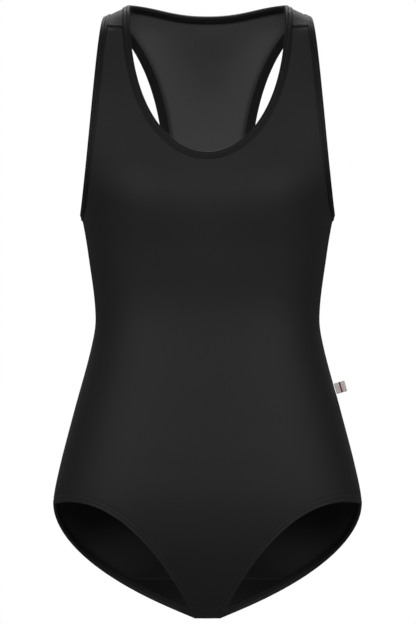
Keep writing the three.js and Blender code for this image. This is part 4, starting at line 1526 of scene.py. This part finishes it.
    def gusset(self) -> None:
        """The lining, which rides above the crotch seam between the two hems."""
        part, whole = self.gusset_share
        steps = int(self.pattern.leg_steps * part / whole)
        leg = self.pattern.leg
        rows_a, rows_v = [], []
        edge_a, edge_v = leg.inset(self.form.cut.hem_width + 0.4)
        order = list(range(steps, -1, -1)) + [-k for k in range(1, steps + 1)]
        for k in order:
            a, v = edge_a[k], edge_v[k]
            is_back = a > SIDE
            reach = math.pi - a if is_back else a
            turn = np.linspace(-reach, reach, self.gusset_columns)
            rows_a.append(math.pi - turn if is_back else turn)
            rows_v.append(np.full(self.gusset_columns, v))
        a, v = np.array(rows_a), np.array(rows_v)
        top = self.top - self.overlock - self.layer_gap
        points = self.form.layer(a, v, top - self.lining_thick)
        across = np.array([run_of(r) - run_of(r)[-1] / 2 for r in points])
        centre = points[:, self.gusset_columns // 2]
        along = np.broadcast_to(run_of(centre)[:, None], across.shape)
        uv = np.stack([across, along], axis=-1) * MM
        middle = len(points) // 2
        inward = -self.form.normal(a[middle, 0], v[middle, 0])
        bm = lay_grid(points, uv, np.zeros(a.shape), False, inward)
        piece = smooth_object("gusset_cloth", bm)
        thicken(piece, self.lining_thick)
        self.wardrobe.dress(piece, LINING)
        self.settle(piece, ["gusset_lining"], "lining")


@dataclass
class Labels(Maker):
    """The folded tag in one side seam and the care label in the other."""

    ribbon: float = 0.3
    fold: float = 0.3
    clear: float = 0.6
    label_size: tuple[float, float] = (25.0, 30.0)
    label_turn: float = math.radians(62)
    label_root: Pair = (-113.9, -0.515)
    label_thick: float = 0.35
    label_curl: float = 0.45
    tag_run: float = 0.0232

    def tag(self) -> None:
        """The ribbon loop that stands out from the seam."""
        cut = self.form.cut
        size = cut.tag_size
        root = self.form.point(np.array(SIDE), self.form.level(cut.tag_z))
        heights = np.array([cut.tag_z + size / 2, cut.tag_z - size / 2])
        ends = self.form.point(np.full(2, SIDE), self.form.level(heights))
        tilt = math.atan2(ends[0, 0] - ends[1, 0], size)
        radius = self.fold / 2 + self.ribbon
        straight = size - radius
        bend = np.linspace(-SIDE, SIDE, 13)
        ease = np.linspace(0, 1, 12)
        swell = 0.05 * np.sin(ease * math.pi)
        lower = np.stack([ease * straight, -radius - swell + 0.05], axis=-1)
        turn = np.stack([straight + radius * np.cos(bend), radius * np.sin(bend)], axis=-1)
        upper = lower[::-1] * np.array([1, -1])
        path = np.concatenate([lower[:-1], turn, upper[1:]])
        across = np.linspace(-size / 2, size / 2, 19)
        local = np.zeros((len(across), len(path), 3))
        local[..., 0] = path[None, :, 0] + self.clear
        local[..., 1] = path[None, :, 1]
        local[..., 2] = across[:, None]
        turn_y = np.array([
            [math.cos(tilt), 0, math.sin(tilt)], [0, 1, 0], [-math.sin(tilt), 0, math.cos(tilt)]])
        points = local @ turn_y.T + root
        run = run_of(path)
        folded = np.minimum(run, run[-1] - run)
        uv = np.stack(np.broadcast_arrays(folded[None], (across[:, None] + size)), axis=-1) * MM
        bm = lay_grid(points, uv, np.zeros(uv.shape[:2]), False, np.array([0.0, -1.0, 0.0]))
        piece = smooth_object("tag_ribbon", bm)
        thicken(piece, self.ribbon * 0.9)
        self.wardrobe.dress(piece, RIBBON)
        self.settle(piece, ["side_tag"], "ribbon", "tag")

    def care(self) -> None:
        """The blank satin label inside the other side seam."""
        low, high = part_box("care_label")
        wide, tall = self.label_size
        out = np.array([math.cos(self.label_turn), math.sin(self.label_turn), 0.0])
        face = np.array([out[1], -out[0], 0.0])
        near = np.array([*self.label_root, 0.0])
        t, s = np.linspace(0, 1, 31), np.linspace(-0.5, 0.5, 35)
        curl = self.label_curl * np.sin(t * math.pi * 1.1)
        points = (near + out * (0.8 + wide * t)[None, :, None] + face * curl[None, :, None])
        points = points + np.array([0, 0, 1.0]) * (s * tall)[:, None, None]
        points[..., 2] += (low.z + high.z) / 2 / MM
        flat = np.broadcast_arrays((t * wide)[None], (s * tall + tall)[:, None])
        uv = np.stack(flat, axis=-1) * MM
        bm = lay_grid(points, uv, np.zeros(uv.shape[:2]), False, face)
        piece = smooth_object("care_label_cloth", bm)
        thicken(piece, self.label_thick)
        self.wardrobe.dress(piece, LABEL)
        self.settle(piece, ["care_label"], "label", "label")

    def make(self) -> None:
        """Make, dress and tie both labels."""
        self.tag()
        self.care()


# ---- Studio ----------------------------------------------------------------------------------


@dataclass(frozen=True)
class Lamp:
    """A soft square light: where it stands and its side in metres, its power in watts."""

    name: str
    place: tuple[float, float, float]
    size: float
    power: float


@dataclass
class Studio:
    """Pale floor, soft lights and the camera."""

    camera_far: float = 16.0
    view_height: float = 0.64896
    sensor: float = 36.0
    eye: tuple[float, float] = (0.0005, -0.312)
    floor_z: float = -1.9
    floor_radius: float = 3.6
    floor_bounce: tuple[float, float, float, float] = (0.16, 0.16, 0.16, 1.0)
    world_dim: float = 0.05
    lamps: tuple[Lamp, ...] = (
        Lamp("key_-1", (-2.5, -2.4, 0.35), 1.6, 51.0),
        Lamp("key_1", (2.5, -2.4, 0.35), 1.6, 51.0),
        Lamp("front", (0.0, -3.2, 0.6), 1.6, 23.0),
        Lamp("top", (0.0, -0.9, 2.2), 1.2, 4.0),
        Lamp("back_key", (0.0, 2.3, 2.2), 2.0, 102.0),
    )

    def floor(self) -> None:
        """A pale round floor, well below the garment."""
        bm = bmesh.new()
        bmesh.ops.create_circle(bm, cap_ends=True, segments=96, radius=self.floor_radius)
        bmesh.ops.translate(bm, verts=bm.verts, vec=(0, 0, self.floor_z))
        piece = smooth_object("studio_floor", bm)
        material = bpy.data.materials.new("pale_floor")
        material.use_nodes = True
        nodes = Nodes(material.node_tree)
        place = nodes.add("ShaderNodeTexCoord").outputs["Object"]
        noise = {"Vector": place, "Scale": 3.0, "Detail": 2.0}
        grain = nodes.add("ShaderNodeTexNoise", noise).outputs[0]
        pales = {0: grain, 6: (0.78, 0.78, 0.78, 1), 7: (0.82, 0.82, 0.82, 1)}
        colour = nodes.add("ShaderNodeMix", pales, data_type="RGBA").outputs[2]
        seen = nodes.add("ShaderNodeLightPath").outputs["Is Camera Ray"]
        tones = {0: seen, 6: self.floor_bounce, 7: colour}
        shown = nodes.add("ShaderNodeMix", tones, data_type="RGBA").outputs[2]
        shader = material.node_tree.nodes["Principled BSDF"]
        material.node_tree.links.new(shown, shader.inputs["Base Color"])
        shader.inputs["Roughness"].default_value = 0.9
        piece.data.materials.append(material)

    def light(self, lamp: Lamp) -> None:
        """Set up a lamp that looks at the garment's middle."""
        data = bpy.data.lights.new(lamp.name, "AREA")
        data.shape, data.size, data.energy = "SQUARE", lamp.size, lamp.power
        piece = bpy.data.objects.new(lamp.name, data)
        piece.location = lamp.place
        aim = Vector((0, 0, self.eye[1])) - Vector(lamp.place)
        piece.rotation_euler = aim.to_track_quat("-Z", "Y").to_euler()
        piece.visible_camera = False
        bpy.context.scene.collection.objects.link(piece)

    def world(self) -> None:
        """White to the camera, and dim to the garment."""
        world = bpy.data.worlds.new("studio")
        bpy.context.scene.world = world
        world.use_nodes = True
        nodes = Nodes(world.node_tree)
        world.node_tree.nodes.clear()
        dim = nodes.add("ShaderNodeBackground", {0: (1, 1, 1, 1), 1: self.world_dim})
        white = nodes.add("ShaderNodeBackground", {0: (1, 1, 1, 1), 1: 1.0})
        seen = nodes.add("ShaderNodeLightPath").outputs["Is Camera Ray"]
        mix = nodes.add("ShaderNodeMixShader", {0: seen, 1: dim.outputs[0], 2: white.outputs[0]})
        nodes.add("ShaderNodeOutputWorld", {0: mix.outputs[0]})

    def camera(self) -> None:
        """A long lens, level with the garment's middle."""
        data = bpy.data.cameras.new("camera")
        data.sensor_width = self.sensor
        data.lens = self.sensor * self.camera_far / self.view_height
        data.clip_end = 40
        camera = bpy.data.objects.new("camera", data)
        camera.location = (self.eye[0], -self.camera_far, self.eye[1])
        camera.rotation_euler = (SIDE, 0, 0)
        bpy.context.scene.collection.objects.link(camera)
        bpy.context.scene.camera = camera

    def make(self) -> None:
        """Set up the floor, lights, world and camera."""
        self.camera()
        self.floor()
        self.world()
        for lamp in self.lamps:
            self.light(lamp)
        bpy.context.scene.view_settings.view_transform = "Standard"


def main() -> None:
    """Build the leotard and its studio."""
    logging.basicConfig(level=logging.INFO, format="%(message)s")
    Studio().make()
    form = BodyForm(Cut())
    tools = (form, Pattern(form), Wardrobe())
    cloth = ClothPanels(*tools)
    panels = cloth.make()
    EdgeBands(*tools).make()
    hems = LegEdges(*tools).make()
    InnerSeams(*tools).make()
    Labels(*tools).make()


if __name__ == "__main__":
    main()
